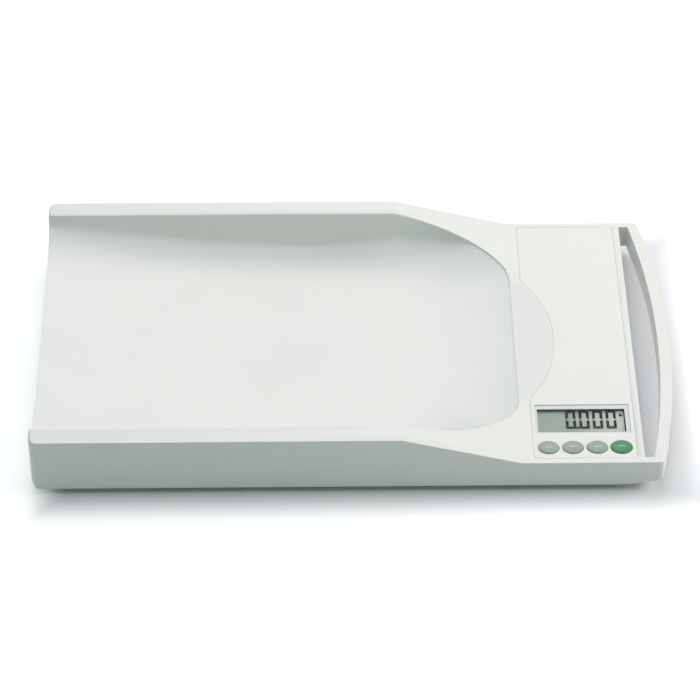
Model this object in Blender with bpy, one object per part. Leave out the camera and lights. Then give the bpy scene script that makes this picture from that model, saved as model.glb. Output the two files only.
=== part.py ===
"""A digital baby weighing scale with a moulded tray, a control deck and a carrying handle.

Metres, +Z up. The origin is on the floor under the middle of the plan. +X runs from the open foot
end of the tray to the handle, and -Y is the side with the keys.
"""

import math

import bmesh
import bpy
from mathutils import Matrix, Vector

# Whole object
LENGTH = 0.552
WIDTH = 0.307
RIM_HEIGHT = 0.0605
DECK_HEIGHT = 0.0325
FLOOR_GAP = 0.006
GAP = 0.0003
OVERRUN = 0.01
WELD = 0.0000001
HALF_WIDTH = WIDTH / 2
FOOT_END = -LENGTH / 2
TOP_OVER = RIM_HEIGHT + OVERRUN
SMOOTH_ANGLE = math.radians(38)
EDGE_ANGLE = math.radians(50)

# Upper shell, outside
HANDLE_BOW = 0.0175
HANDLE_ZONE = 0.0162
DECK_LENGTH = 0.12
SLOPE_LENGTH = 0.102
SHELL_WALL = 0.0025
DECK_WALL = 0.003
EDGE_ROUND = 0.0012
CORNER_ROUND = 0.003
FOOT_ROUND = 0.005
LIP_ROUND = 0.002
UPSWEEP_RISE = 0.0055
UPSWEEP_LENGTH = 0.04
UPSWEEP_LEAD = 0.0345
BODY_END = FOOT_END + LENGTH - HANDLE_BOW
HANDLE_END = FOOT_END + LENGTH
SLOPE_END = BODY_END - DECK_LENGTH
SLOPE_START = SLOPE_END - SLOPE_LENGTH
RIM_LENGTH = SLOPE_START - FOOT_END
SLOPE_ANGLE = math.atan2(RIM_HEIGHT - DECK_HEIGHT, SLOPE_LENGTH)
UPSWEEP_START = BODY_END - UPSWEEP_LEAD
DECK_UNDERSIDE = DECK_HEIGHT - DECK_WALL

# Handle slot and bar
SLOT_SIDE_WALL = 0.006
SLOT_NECK = 0.0083
BAR_WIDTH = 0.0107
BAR_WALL = 0.0022
BAR_RIB = 0.002
BAR_BAYS = 5
BAY_STEPS = 5
BOW_STEPS = 26
SLOT_START = BODY_END - HANDLE_ZONE
SLOT_HALF = HALF_WIDTH - SLOT_SIDE_WALL
CAVITY_END = SLOT_START - SHELL_WALL

# Tray
RIM_WIDTH = 0.0173
TRAY_CORNER_LENGTH = 0.103
TRAY_CORNER_POWER = 1.85
TRAY_EDGE_ROUND = 0.0012
TRAY_FILLET = 0.004
WALL_DRAFT_SHARE = 0.16
FOOT_LIP_HEIGHT = 0.036
TRAY_FLOOR_HEIGHT = 0.018
TRAY_END_STEP = 0.0004
TRAY_END_SHARE = 0.8967
FOOT_WALL_DROP = 0.0097
SIDE_WALL_DROP = 0.034
WALL_FADE_SHARE = 0.7
DEEPEST_SHARE = 0.736
SPINE_SHARE = 0.93
EDGE_SOFT_SHARE = 0.3
BOWL_POWER = 6.0
BOWL_END_POWER = 3.0
BOWL_SPACING_POWER = 1.4
STRAIGHT_STEPS = 11
CORNER_STEPS = 12
END_STEPS = 4
BOWL_STEPS = 8
UNDERSIDE_BOWL_STEPS = 4
TRAY_HALF = HALF_WIDTH - RIM_WIDTH
TRAY_END = SLOPE_START + TRAY_CORNER_LENGTH

# Dish between the tray and the foil
FOIL_INSET = 0.0105
FOIL_STRIP = 0.006
FOIL_SIDE_MARGIN = 0.006
FOIL_BITE = 0.0255
FOIL_THICKNESS = 0.0006
FOIL_CORNER = 0.003
DISH_RADIUS_SHARE = 0.8274
DISH_DEPTH = 0.0091
DISH_LAND = 0.001
DISH_LEAD = 0.002
DISH_REACH_SHARE = 1.01
DISH_SEGMENTS = 72
DISH_STEPS = 8
FOIL_ARC_STEPS = 24
FOIL_START = SLOPE_END + FOIL_INSET
FOIL_END = SLOT_START - FOIL_STRIP
FOIL_LENGTH = FOIL_END - FOIL_START
FOIL_HALF = HALF_WIDTH - FOIL_SIDE_MARGIN
DISH_RADIUS = HALF_WIDTH * DISH_RADIUS_SHARE
DISH_CENTRE = FOIL_START + FOIL_BITE - DISH_RADIUS
DISH_CHORD_HALF = math.sqrt((DISH_RADIUS - DISH_LAND) ** 2 - (TRAY_END - DISH_CENTRE) ** 2)
TRAY_END_HALF = DISH_CHORD_HALF * TRAY_END_SHARE
TRAY_CORNER_DEPTH = TRAY_HALF - TRAY_END_HALF
RECESS_FLOOR = DECK_HEIGHT - FOIL_THICKNESS - GAP

# Display and board
WINDOW_END_MARGIN = 0.0036
WINDOW_WIDTH = 0.034
WINDOW_FROM_FRONT = 0.0357
WINDOW_LEDGE = 0.0012
LCD_BORDER = 0.0025
LCD_THICKNESS = 0.002
LCD_FRAME_HEIGHT = 0.0042
LCD_FRAME_WALL = 0.006
BOARD_THICKNESS = 0.0016
BOARD_FRONT_MARGIN = 0.007
BOARD_BEHIND_LCD = 0.005
BOARD_POST_RADIUS = 0.002
WINDOW_LENGTH = FOIL_LENGTH - 2 * WINDOW_END_MARGIN
WINDOW_X = (FOIL_START + FOIL_END) / 2
WINDOW_Y = WINDOW_FROM_FRONT + WINDOW_WIDTH / 2 - HALF_WIDTH
LCD_TOP = DECK_UNDERSIDE - GAP
LCD_HALF = (WINDOW_LENGTH / 2 + LCD_BORDER - WINDOW_LEDGE, WINDOW_WIDTH / 2 + LCD_BORDER - WINDOW_LEDGE)
FRAME_TOP = LCD_TOP - LCD_THICKNESS - GAP
BOARD_TOP = FRAME_TOP - LCD_FRAME_HEIGHT - GAP
BOARD_BOTTOM = BOARD_TOP - BOARD_THICKNESS
BOARD_FRONT = BOARD_FRONT_MARGIN - HALF_WIDTH
BOARD_REAR = WINDOW_Y + LCD_HALF[1] + BOARD_BEHIND_LCD

# Keys and their switches
KEY_ROW_FROM_FRONT = 0.0183
KEY_END_MARGIN = 0.0128
KEY_SPACING = 0.0031
KEY_WIDTH = 0.0147
START_KEY_EXTRA = 0.0008
KEY_CLEARANCE = 0.0004
KEY_RISE = 0.0016
KEY_FLANGE = 0.0012
KEY_FLANGE_THICKNESS = 0.001
KEY_TRAVEL = 0.0008
KEY_EDGE_SHARE = 0.35
KEY_SEGMENTS = 24
KEY_DOME_STEPS = 3
KEY_DOME_ANGLE = math.radians(80)
PLUNGER_SEGMENTS = 12
STEM_RADIUS = 0.0022
STEM_LENGTH = 0.001
SWITCH_SIDE = 0.0062
SWITCH_HEIGHT = 0.0032
PLUNGER_RADIUS = 0.0015
PLUNGER_SEAT = 0.001
KEY_ROW_Y = KEY_ROW_FROM_FRONT - HALF_WIDTH
KEY_PITCH = (FOIL_LENGTH - 2 * KEY_END_MARGIN) / 3
KEY_HALF = ((KEY_PITCH - KEY_SPACING) / 2, KEY_WIDTH / 2)
SWITCH_BOTTOM = BOARD_TOP + GAP
SWITCH_TOP = SWITCH_BOTTOM + SWITCH_HEIGHT
FLANGE_TOP = DECK_UNDERSIDE - GAP
STEM_BOTTOM = FLANGE_TOP - KEY_FLANGE_THICKNESS - STEM_LENGTH
PLUNGER_TOP = STEM_BOTTOM - GAP

# Base plate
BASE_RECESS = 0.0008
BASE_THICKNESS = 0.0025
BASE_LIP_WALL = 0.002
BASE_LIP_HEIGHT = 0.0037
BASE_BOTTOM = FLOOR_GAP + BASE_RECESS
BASE_TOP = BASE_BOTTOM + BASE_THICKNESS
LIP_TOP = BASE_TOP + BASE_LIP_HEIGHT
BASE_START = FOOT_END + SHELL_WALL + GAP
BASE_END = CAVITY_END - GAP
BASE_HALF = HALF_WIDTH - SHELL_WALL - GAP
BASE_GAP = 0.0004

# Screws and bosses
BOSS_RADIUS = 0.0045
PILLAR_RADIUS = 0.005
BOSS_FROM_SIDE = 0.00865
SCREW_RADIUS = 0.0014
SCREW_HEAD_RADIUS = 0.003
SCREW_HEAD_HEIGHT = 0.002
SCREW_REACH = 0.009
SCREW_RECESS = 0.0005
SCREW_SEGMENTS = 10
BOSS_SEGMENTS = 12
POST_SEGMENTS = 8
DECK_SCREW_FROM_FRONT = 0.084
DECK_SCREW_FROM_SLOT = 0.0078
FIRST_SCREW = 0.028
LAST_SCREW_FROM_SLOPE_END = 0.0095
SHELL_RIB = 0.0018
RIB_CLEARANCE = 0.0006
RIB_SIDE_MARGIN = 0.0075
RIB_SHARES = (0.36, 0.6, 0.88)

# Feet and load cells
FOOT_FROM_END = 0.048
FOOT_FROM_SLOT = 0.0403
FOOT_FROM_SIDE = 0.0435
PAD_RADIUS = 0.014
PAD_HEIGHT = 0.0025
CUP_RADIUS = 0.017
CUP_WALL_HEIGHT = 0.0013
CUP_TRAVEL = 0.0005
STEM_FOOT_RADIUS = 0.007
CELL_SIDE = 0.033
CELL_THICKNESS = 0.0025
CELL_CORNER = 0.003
CELL_TONGUE = 0.0155
CELL_SLIT = 0.002
POCKET_CLEARANCE = 0.0008
POCKET_WALL = 0.003
CAP_LEG_SHARE = 0.4368
CAP_PLATE_SHARE = 0.2069
CAP_RELIEF_SHARE = 0.72
FOOT_SEGMENTS = 24
CELL_BOTTOM = BASE_TOP + GAP
CELL_TOP = CELL_BOTTOM + CELL_THICKNESS
CAP_ROOM = BOARD_BOTTOM - CELL_TOP
CAP_LEG = CAP_ROOM * CAP_LEG_SHARE
CAP_PLATE = CAP_ROOM * CAP_PLATE_SHARE
POCKET_HALF = CELL_SIDE / 2 + POCKET_CLEARANCE
POCKET_TOP = CELL_TOP + GAP + CAP_LEG
FOOT_PLACES = [
    (FOOT_END + FOOT_FROM_END, FOOT_FROM_SIDE - HALF_WIDTH, "front_left"),
    (SLOT_START - FOOT_FROM_SLOT, FOOT_FROM_SIDE - HALF_WIDTH, "front_right"),
    (FOOT_END + FOOT_FROM_END, HALF_WIDTH - FOOT_FROM_SIDE, "rear_left"),
    (SLOT_START - FOOT_FROM_SLOT, HALF_WIDTH - FOOT_FROM_SIDE, "rear_right"),
]

# Batteries
CELL_COUNT = 6
COVER_THICKNESS = 0.0016
COVER_BOTTOM = BASE_BOTTOM
COVER_TOP = COVER_BOTTOM + COVER_THICKNESS
WELL_WALL = 0.002
WELL_FROM_SLOT = 0.0178
WELL_BELOW_DECK = 0.004
BATTERY_LENGTH = 0.0493
BATTERY_NUB_SHARE = 0.38
BATTERY_NUB = 0.0012
BATTERY_SPACING = 0.0006
BATTERY_SEGMENTS = 16
CONTACT_THICKNESS = 0.0005
CONTACT_REACH = 0.0035
CONTACT_WIDTH_SHARE = 0.5634
CONTACT_HEIGHT_SHARE = 0.7746
BATTERY_BOTTOM = COVER_TOP + 2 * GAP
WELL_TOP = DECK_UNDERSIDE - WELL_BELOW_DECK - WELL_WALL
BATTERY_RADIUS = (WELL_TOP - GAP - BATTERY_BOTTOM) / 2
BATTERY_Z = BATTERY_BOTTOM + BATTERY_RADIUS
BATTERY_NUB_RADIUS = BATTERY_RADIUS * BATTERY_NUB_SHARE
BATTERY_PITCH = 2 * BATTERY_RADIUS + BATTERY_SPACING
CONTACT_WIDTH = 2 * BATTERY_RADIUS * CONTACT_WIDTH_SHARE
CONTACT_HEIGHT = 2 * BATTERY_RADIUS * CONTACT_HEIGHT_SHARE
WELL_LENGTH = BATTERY_LENGTH + BATTERY_NUB + 2 * (CONTACT_REACH + 2 * GAP)
WELL_HALF = (CELL_COUNT * BATTERY_PITCH) / 2 + GAP
WELL_END = SLOT_START - WELL_FROM_SLOT
WELL_START = WELL_END - WELL_LENGTH

# Battery cover
COVER_LEDGE = 0.0032
COVER_BARREL_RADIUS = 0.0014
COVER_HINGE_OFFSET = 0.004
HINGE_PIN_RADIUS = 0.0008
HINGE_PIN_LENGTH = 0.0015
FLANGE_HEIGHT = 0.0045
FLANGE_MARGIN = 0.003
NOTCH_RADIUS = 0.009
NOTCH_DEPTH = 0.0012
BARREL_SEGMENTS = 16
PIN_SEGMENTS = 12
NOTCH_SEGMENTS = 28
HINGE_X = WELL_START - COVER_HINGE_OFFSET
HINGE_Z = COVER_BOTTOM + COVER_BARREL_RADIUS
COVER_END = WELL_END + COVER_LEDGE
COVER_HALF = WELL_HALF + COVER_LEDGE


def material(name, colour, roughness, metallic=0.0):
    """A plain Principled material."""
    made = bpy.data.materials.new(name)
    made.use_nodes = True
    shader = made.node_tree.nodes["Principled BSDF"]
    shader.inputs["Base Color"].default_value = (*colour, 1.0)
    shader.inputs["Roughness"].default_value = roughness
    shader.inputs["Metallic"].default_value = metallic
    return made


def place(name, bm, finish=None):
    """Makes the bmesh an object. Without a finish it is a cutter, which isn't rendered."""
    bmesh.ops.remove_doubles(bm, verts=bm.verts, dist=WELD)
    bmesh.ops.recalc_face_normals(bm, faces=bm.faces)
    mesh = bpy.data.meshes.new(name)
    bm.to_mesh(mesh)
    bm.free()
    mesh.shade_smooth()
    mesh.set_sharp_from_angle(angle=SMOOTH_ANGLE)
    made = bpy.data.objects.new(name, mesh)
    bpy.context.scene.collection.objects.link(made)
    if finish:
        mesh.materials.append(finish)
    else:
        made.hide_render = True
        made.display_type = "WIRE"
    return made


def boolean(target, tool, operation="DIFFERENCE"):
    """Cuts the tool from the target, or joins or intersects them."""
    modifier = target.modifiers.new(tool.name, "BOOLEAN")
    modifier.operation = operation
    modifier.solver = "EXACT"
    modifier.object = tool


def prism(bm, outline, low, high):
    """Adds an outline in the XY plane as a solid between two heights."""
    face = bm.faces.new([bm.verts.new((x, y, low)) for x, y in outline])
    grown = bmesh.ops.extrude_face_region(bm, geom=[face])
    moved = [v for v in grown["geom"] if isinstance(v, bmesh.types.BMVert)]
    bmesh.ops.translate(bm, verts=moved, vec=(0, 0, high - low))


def side_prism(bm, outline, near, far):
    """Adds an outline in the XZ plane as a solid between two values of y."""
    face = bm.faces.new([bm.verts.new((x, near, z)) for x, z in outline])
    grown = bmesh.ops.extrude_face_region(bm, geom=[face])
    moved = [v for v in grown["geom"] if isinstance(v, bmesh.types.BMVert)]
    bmesh.ops.translate(bm, verts=moved, vec=(0, far - near, 0))


def block(bm, x, y, z):
    """Adds a box between pairs of values."""
    prism(bm, [(x[0], y[0]), (x[1], y[0]), (x[1], y[1]), (x[0], y[1])], z[0], z[1])


def settle(made):
    """Applies an object's modifiers, and shades its edges by their angle."""
    graph = bpy.context.evaluated_depsgraph_get()
    mesh = bpy.data.meshes.new_from_object(made.evaluated_get(graph))
    mesh.name = made.name
    mesh.shade_smooth()
    mesh.set_sharp_from_angle(angle=SMOOTH_ANGLE)
    made.modifiers.clear()
    made.data = mesh


def turned(bm, profile, segments, centre=(0, 0, 0), turn=None):
    """Adds a solid of revolution about Z, from (radius, height) points that start and end on the axis."""
    fresh = bmesh.new()
    points = [fresh.verts.new((radius, 0, height)) for radius, height in profile]
    edges = [fresh.edges.new(pair) for pair in zip(points, points[1:])]
    bmesh.ops.spin(fresh, geom=points + edges, cent=(0, 0, 0), axis=(0, 0, 1), dvec=(0, 0, 0),
                   angle=math.tau, steps=segments, use_merge=True)
    bmesh.ops.remove_doubles(fresh, verts=fresh.verts, dist=WELD)
    fresh.transform(Matrix.Translation(centre) @ (turn or Matrix()))
    mesh = bpy.data.meshes.new("turned")
    fresh.to_mesh(mesh)
    fresh.free()
    bm.from_mesh(mesh)
    bpy.data.meshes.remove(mesh)


def disc(bm, x, y, radius, low, high, segments=FOOT_SEGMENTS):
    """Adds an upright cylinder."""
    turned(bm, [(0, low), (radius, low), (radius, high), (0, high)], segments, (x, y, 0))


def loft(bm, rows):
    """Skins rows of points, and caps the first and the last row."""
    rings = [[bm.verts.new(point) for point in row] for row in rows]
    for below, above in zip(rings, rings[1:]):
        for i in range(len(below)):
            j = (i + 1) % len(below)
            bm.faces.new((below[i], below[j], above[j], above[i]))
    bm.faces.new(rings[0])
    bm.faces.new(rings[-1])


def oval(centre, half, height, segments=KEY_SEGMENTS):
    """Points round an ellipse at one height."""
    turns = [math.tau * i / segments for i in range(segments)]
    return [(centre[0] + half[0] * math.cos(t), centre[1] + half[1] * math.sin(t), height) for t in turns]


def arc(centre, radius, first, last, steps):
    """Points along an arc, between two angles in degrees."""
    angles = [math.radians(first + (last - first) * i / steps) for i in range(steps + 1)]
    return [(centre[0] + radius * math.cos(a), centre[1] + radius * math.sin(a)) for a in angles]


def rounded(x, y, radius, steps=2):
    """The outline of a rectangle with round corners."""
    low_x, high_x = x[0] + radius, x[1] - radius
    low_y, high_y = y[0] + radius, y[1] - radius
    return (
        arc((low_x, low_y), radius, 180, 270, steps) + arc((high_x, low_y), radius, 270, 360, steps)
        + arc((high_x, high_y), radius, 0, 90, steps) + arc((low_x, high_y), radius, 90, 180, steps)
    )


def bow(y, end_x, middle_x, half):
    """The x of a circular bow that passes end_x at y = +-half and middle_x at y = 0."""
    rise = middle_x - end_x
    radius = (half ** 2 + rise ** 2) / (2 * rise)
    return middle_x - radius + math.sqrt(radius ** 2 - y ** 2)


def body_bow(y):
    return bow(y, BODY_END, HANDLE_END, HALF_WIDTH)


def slot_bow(y):
    return bow(y, SLOT_START + SLOT_NECK, HANDLE_END - BAR_WIDTH, SLOT_HALF)


def spread(first, last, steps):
    """Evenly spaced values, both ends included."""
    return [first + (last - first) * i / steps for i in range(steps + 1)]


def smooth(share):
    share = min(max(share, 0.0), 1.0)
    return share * share * (3 - 2 * share)


def blend(first, last, share):
    return first + (last - first) * share


def top_height(x):
    """The height of the shell's top surface at x."""
    share = min(max((x - SLOPE_START) / SLOPE_LENGTH, 0.0), 1.0)
    return blend(RIM_HEIGHT, DECK_HEIGHT, share)


def skirt_height(x):
    """The height of the shell's lower edge at x."""
    return FLOOR_GAP + UPSWEEP_RISE * smooth((x - UPSWEEP_START) / UPSWEEP_LENGTH)


def dish_height(x, y):
    """The height of the dish at a point, if it went on in every direction."""
    share = math.hypot(x - DISH_CENTRE, y) / (DISH_RADIUS - DISH_LAND)
    return DECK_HEIGHT - DISH_DEPTH * (1 - share ** 2)


def wall_drop(x):
    """How far the tray's steep side wall reaches below its top edge at x."""
    deepest = FOOT_END + RIM_LENGTH * DEEPEST_SHARE
    if x < deepest:
        share = max((x - FOOT_END) / (deepest - FOOT_END), 0.0)
        return blend(FOOT_WALL_DROP, SIDE_WALL_DROP, (share + math.sin(math.pi / 2 * share)) / 2)
    fade_end = SLOPE_START + TRAY_CORNER_LENGTH * WALL_FADE_SHARE
    end_drop = DECK_HEIGHT - dish_height(TRAY_END, TRAY_END_HALF) + TRAY_END_STEP
    return blend(SIDE_WALL_DROP, end_drop, min((x - deepest) / (fade_end - deepest), 1.0) ** 2)


def side_outline(inset, deck_inset, bottom, end):
    """The side of the shell or of its hollow, in XZ, from the foot end round to the top."""
    shift = inset * math.tan(SLOPE_ANGLE / 2)
    return bottom + [
        (end, DECK_HEIGHT - deck_inset),
        (SLOPE_END - shift, DECK_HEIGHT - deck_inset),
        (SLOPE_START - shift, RIM_HEIGHT - inset),
    ]


def tray_sections(grow, fine):
    """Rows of points that skin the tray's hollow, each row running round the tray from front to rear.

    Each station stands on the tray's outline and looks to the spine. Its section goes over the round
    edge, down the steep wall, through a fillet and along the bowl to the spine.
    """
    spine_end = FOOT_END + RIM_LENGTH * SPINE_SHARE
    stations = []
    for x in [FOOT_END - OVERRUN] + spread(FOOT_END, SLOPE_START, STRAIGHT_STEPS):
        along = max((x - FOOT_END) / RIM_LENGTH, 0.0)
        rise = (1 - min(along / DEEPEST_SHARE, 1.0)) ** 2
        floor = blend(TRAY_FLOOR_HEIGHT, FOOT_LIP_HEIGHT, rise)
        foot = RIM_HEIGHT - wall_drop(x)
        stations.append(((x, -TRAY_HALF), min(x, spine_end), RIM_HEIGHT, foot, floor, BOWL_POWER))
    for i in range(1, CORNER_STEPS + 1):
        turn = math.pi / 2 * i / CORNER_STEPS
        power = 2 / TRAY_CORNER_POWER
        x = SLOPE_START + TRAY_CORNER_LENGTH * math.sin(turn) ** power
        y = -TRAY_END_HALF - TRAY_CORNER_DEPTH * max(math.cos(turn), 0.0) ** power
        top = top_height(x)
        bend = blend(BOWL_POWER, BOWL_END_POWER, smooth(i / CORNER_STEPS))
        stations.append(((x, y), spine_end, top, top - wall_drop(x), TRAY_FLOOR_HEIGHT, bend))
    for y in spread(-TRAY_END_HALF, 0, END_STEPS)[1:]:
        dish = dish_height(TRAY_END, y)
        edge = (dish + TRAY_END_STEP, dish - TRAY_END_STEP)
        stations.append(((TRAY_END, y), spine_end, *edge, TRAY_FLOOR_HEIGHT, BOWL_END_POWER))
    mirrored = [((x, -y), *others) for (x, y), *others in stations[-2::-1]]
    sections = [section(grow, fine, *station) for station in stations + mirrored]
    return [[points[i] for points in sections] for i in range(len(sections[0]))]


def section(grow, fine, edge, spine_x, top, foot, floor, power):
    """One section of the tray's hollow, from above the rim down to the spine."""
    towards = Vector((spine_x - edge[0], -edge[1]))
    depth = towards.length
    run = (top - foot) * WALL_DRAFT_SHARE
    fillet = min(TRAY_FILLET, (top - foot) / 2)
    edge_round = min(TRAY_EDGE_ROUND, (top - foot) / 3)

    def bowl(distance):
        share = (distance - run) / (depth - run)
        return floor + (foot - floor) * (1 - share) ** power

    start = (run - fillet * WALL_DRAFT_SHARE, foot + fillet)
    finish = (run + fillet, bowl(run + fillet))
    profile = [(-edge_round, TOP_OVER + grow), (-edge_round, top)]
    if fine:
        profile += [(-edge_round * EDGE_SOFT_SHARE, top - edge_round * EDGE_SOFT_SHARE)]
    profile += [(0, top - edge_round), start]
    for t in spread(0, 1, 4 if fine else 2)[1:-1]:
        ways = ((1 - t) ** 2, 2 * t * (1 - t), t ** 2)
        corners = (start, (run, foot), finish)
        profile.append(tuple(sum(w * c[k] for w, c in zip(ways, corners)) for k in (0, 1)))
    profile.append(finish)
    for share in spread(0, 1, BOWL_STEPS if fine else UNDERSIDE_BOWL_STEPS)[1:]:
        profile.append((blend(run + fillet, depth, share ** BOWL_SPACING_POWER), None))
    reach = 1 + grow / depth
    points = []
    for distance, height in profile:
        height = bowl(min(distance, depth)) if height is None else height
        share = (1 - distance / depth) * reach
        points.append((spine_x - towards.x * share, -towards.y * share, height - grow))
    return points


def tray_hollow(name, grow, fine):
    """The tray's hollow as a solid that runs out over the foot end and above the rims."""
    bm = bmesh.new()
    rows = [[bm.verts.new(point) for point in row] for row in tray_sections(grow, fine)]
    for above, below in zip(rows, rows[1:]):
        for i in range(len(above) - 1):
            bm.faces.new((above[i], above[i + 1], below[i + 1], below[i]))
    bm.faces.new(rows[0])
    bm.faces.new([row[0] for row in rows] + [row[-1] for row in rows[-2::-1]])
    return place(name, bm)


def dish_hollow(name, grow):
    """The shallow round scoop that leads from the deck down into the tray."""
    bm = bmesh.new()
    radius = DISH_RADIUS - DISH_LAND
    ways = [radius * share for share in spread(0, DISH_REACH_SHARE, DISH_STEPS)]
    profile = [(way, dish_height(DISH_CENTRE + way, 0) - grow) for way in ways]
    turned(bm, profile + [(ways[-1], TOP_OVER), (0, TOP_OVER)], DISH_SEGMENTS, (DISH_CENTRE, 0, 0))
    dish = place(name, bm)
    tray_side = bmesh.new()
    start = SLOPE_END - DISH_LEAD - grow
    block(tray_side, (FOOT_END, start), (-HALF_WIDTH, HALF_WIDTH), (0, TOP_OVER + OVERRUN))
    boolean(dish, place(name + "_trim", tray_side))
    return dish


def foil_outline(spare):
    """The foil's outline, grown by a clearance. Its tray side follows the dish."""
    low_x, high_x, half = FOIL_START - spare, FOIL_END + spare, FOIL_HALF + spare
    radius = DISH_RADIUS - spare
    bite = math.degrees(math.acos((low_x - DISH_CENTRE) / radius))
    corner = FOIL_CORNER
    return (
        arc((low_x + corner, corner - half), corner, 180, 270, 4)
        + arc((high_x - corner, corner - half), corner, 270, 360, 4)
        + arc((high_x - corner, half - corner), corner, 0, 90, 4)
        + arc((low_x + corner, half - corner), corner, 90, 180, 4)
        + arc((DISH_CENTRE, 0), radius, bite, -bite, FOIL_ARC_STEPS)
    )


def slot_outline():
    """The handle slot: one straight side and one bowed side."""
    return [(SLOT_START, SLOT_HALF), (SLOT_START, -SLOT_HALF)] + [
        (slot_bow(y), y) for y in spread(-SLOT_HALF, SLOT_HALF, BOW_STEPS)
    ]


def key_places():
    """The middle of each key, with its name and half sizes."""
    names = ("button_1", "button_2", "button_3", "button_start")
    for i, name in enumerate(names):
        extra = START_KEY_EXTRA / 2 if name == "button_start" else 0.0
        yield name, FOIL_START + KEY_END_MARGIN + i * KEY_PITCH, (KEY_HALF[0] + extra, KEY_HALF[1] + extra)


def screw_places():
    """(x, y) of each housing screw."""
    side = HALF_WIDTH - BOSS_FROM_SIDE
    columns = spread(FOOT_END + FIRST_SCREW, SLOPE_END - LAST_SCREW_FROM_SLOPE_END, 2)
    places = [(x, y) for x in columns for y in (-side, side)]
    deck_y = HALF_WIDTH - DECK_SCREW_FROM_FRONT
    return places + [(CAVITY_END - DECK_SCREW_FROM_SLOT, y) for y in (-deck_y, deck_y)]


def board_posts():
    """(x, y) of the deck's posts, which hold the board down between the keys and the display."""
    inset = BOARD_POST_RADIUS * 2
    front = (KEY_ROW_Y + KEY_HALF[1] + KEY_FLANGE + WINDOW_Y - LCD_HALF[1]) / 2
    rear = BOARD_REAR - BOARD_POST_RADIUS - GAP
    return [(x, y) for x in (FOIL_START + inset, FOIL_END - inset) for y in (front, rear)]


def make_shell_hollow():
    """The space inside the upper shell, less the tray, the dish, the bosses, the posts and the ribs."""
    bm = bmesh.new()
    below = FLOOR_GAP - OVERRUN
    outline = side_outline(SHELL_WALL, DECK_WALL, [(FOOT_END + SHELL_WALL, below), (CAVITY_END, below)], CAVITY_END)
    side_prism(bm, outline + [(FOOT_END + SHELL_WALL, RIM_HEIGHT - SHELL_WALL)],
               SHELL_WALL - HALF_WIDTH, HALF_WIDTH - SHELL_WALL)
    hollow = place("shell_hollow", bm)
    bosses = bmesh.new()
    for x, y in screw_places():
        disc(bosses, x, y, BOSS_RADIUS, LIP_TOP + GAP, TOP_OVER, BOSS_SEGMENTS)
    for x, y in board_posts():
        disc(bosses, x, y, BOARD_POST_RADIUS, BOARD_TOP + GAP, TOP_OVER, POST_SEGMENTS)
    boolean(hollow, place("bosses", bosses))
    ribs = bmesh.new()
    half = HALF_WIDTH - RIB_SIDE_MARGIN
    for share in RIB_SHARES:
        middle = FOOT_END + RIM_LENGTH * share
        block(ribs, (middle - SHELL_RIB / 2, middle + SHELL_RIB / 2), (-half, half), (BASE_TOP + RIB_CLEARANCE, TOP_OVER))
    boolean(hollow, place("ribs", ribs))
    boolean(hollow, tray_hollow("tray_underside", SHELL_WALL, False))
    boolean(hollow, dish_hollow("dish_underside", DECK_WALL))
    return hollow


def make_upper_shell(finish):
    """Tray, rims, deck and handle in one moulding, open below."""
    corner = arc((FOOT_END + FOOT_ROUND, FLOOR_GAP + FOOT_ROUND), FOOT_ROUND, 180, 270, 4)
    sweep = [(x, skirt_height(x)) for x in spread(UPSWEEP_START, UPSWEEP_START + UPSWEEP_LENGTH, 8)]
    past = HANDLE_END + OVERRUN
    outline = side_outline(0, 0, corner + sweep + [(past, skirt_height(past))], past)
    lip = arc((FOOT_END + LIP_ROUND, RIM_HEIGHT - LIP_ROUND), LIP_ROUND, 90, 180, 3)
    bm = bmesh.new()
    side_prism(bm, outline + lip, -HALF_WIDTH - OVERRUN, HALF_WIDTH + OVERRUN)
    shell = place("upper_shell", bm, finish)
    plan = bmesh.new()
    low, high = -HALF_WIDTH + CORNER_ROUND, HALF_WIDTH - CORNER_ROUND
    prism(plan, arc((FOOT_END + CORNER_ROUND, high), CORNER_ROUND, 90, 180, 4)
          + arc((FOOT_END + CORNER_ROUND, low), CORNER_ROUND, 180, 270, 4)
          + [(body_bow(y), y) for y in spread(-HALF_WIDTH, HALF_WIDTH, BOW_STEPS)],
          FLOOR_GAP - OVERRUN, TOP_OVER)
    boolean(shell, place("plan_form", plan), "INTERSECT")
    bevel = shell.modifiers.new("edges", "BEVEL")
    bevel.width = EDGE_ROUND
    bevel.segments = 2
    bevel.limit_method = "ANGLE"
    bevel.angle_limit = EDGE_ANGLE
    boolean(shell, make_shell_hollow())
    boolean(shell, tray_hollow("tray_form", 0, True))
    boolean(shell, dish_hollow("dish_form", 0))
    slot = bmesh.new()
    prism(slot, slot_outline(), FLOOR_GAP - OVERRUN, TOP_OVER)
    boolean(shell, place("slot_form", slot))
    boolean(shell, make_bar_bays())
    boolean(shell, make_deck_openings())
    pilots = bmesh.new()
    for x, y in screw_places():
        disc(pilots, x, y, SCREW_RADIUS + GAP, LIP_TOP - OVERRUN, LIP_TOP + SCREW_REACH + GAP, SCREW_SEGMENTS)
    boolean(shell, place("pilot_holes", pilots))
    return shell


def make_bar_bays():
    """The bays that lighten the handle bar from below, with a rib between each pair."""
    bm = bmesh.new()
    half = SLOT_HALF - BAR_WALL
    pitch = 2 * half / BAR_BAYS
    for i in range(BAR_BAYS):
        low = -half + i * pitch + (BAR_RIB / 2 if i else 0.0)
        high = -half + (i + 1) * pitch - (BAR_RIB / 2 if i < BAR_BAYS - 1 else 0.0)
        ways = spread(low, high, BAY_STEPS)
        inner = [(slot_bow(y) + BAR_WALL, y) for y in ways]
        outer = [(body_bow(y) - BAR_WALL, y) for y in reversed(ways)]
        prism(bm, inner + outer, FLOOR_GAP - OVERRUN, DECK_UNDERSIDE)
    return place("bar_bays", bm)


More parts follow.
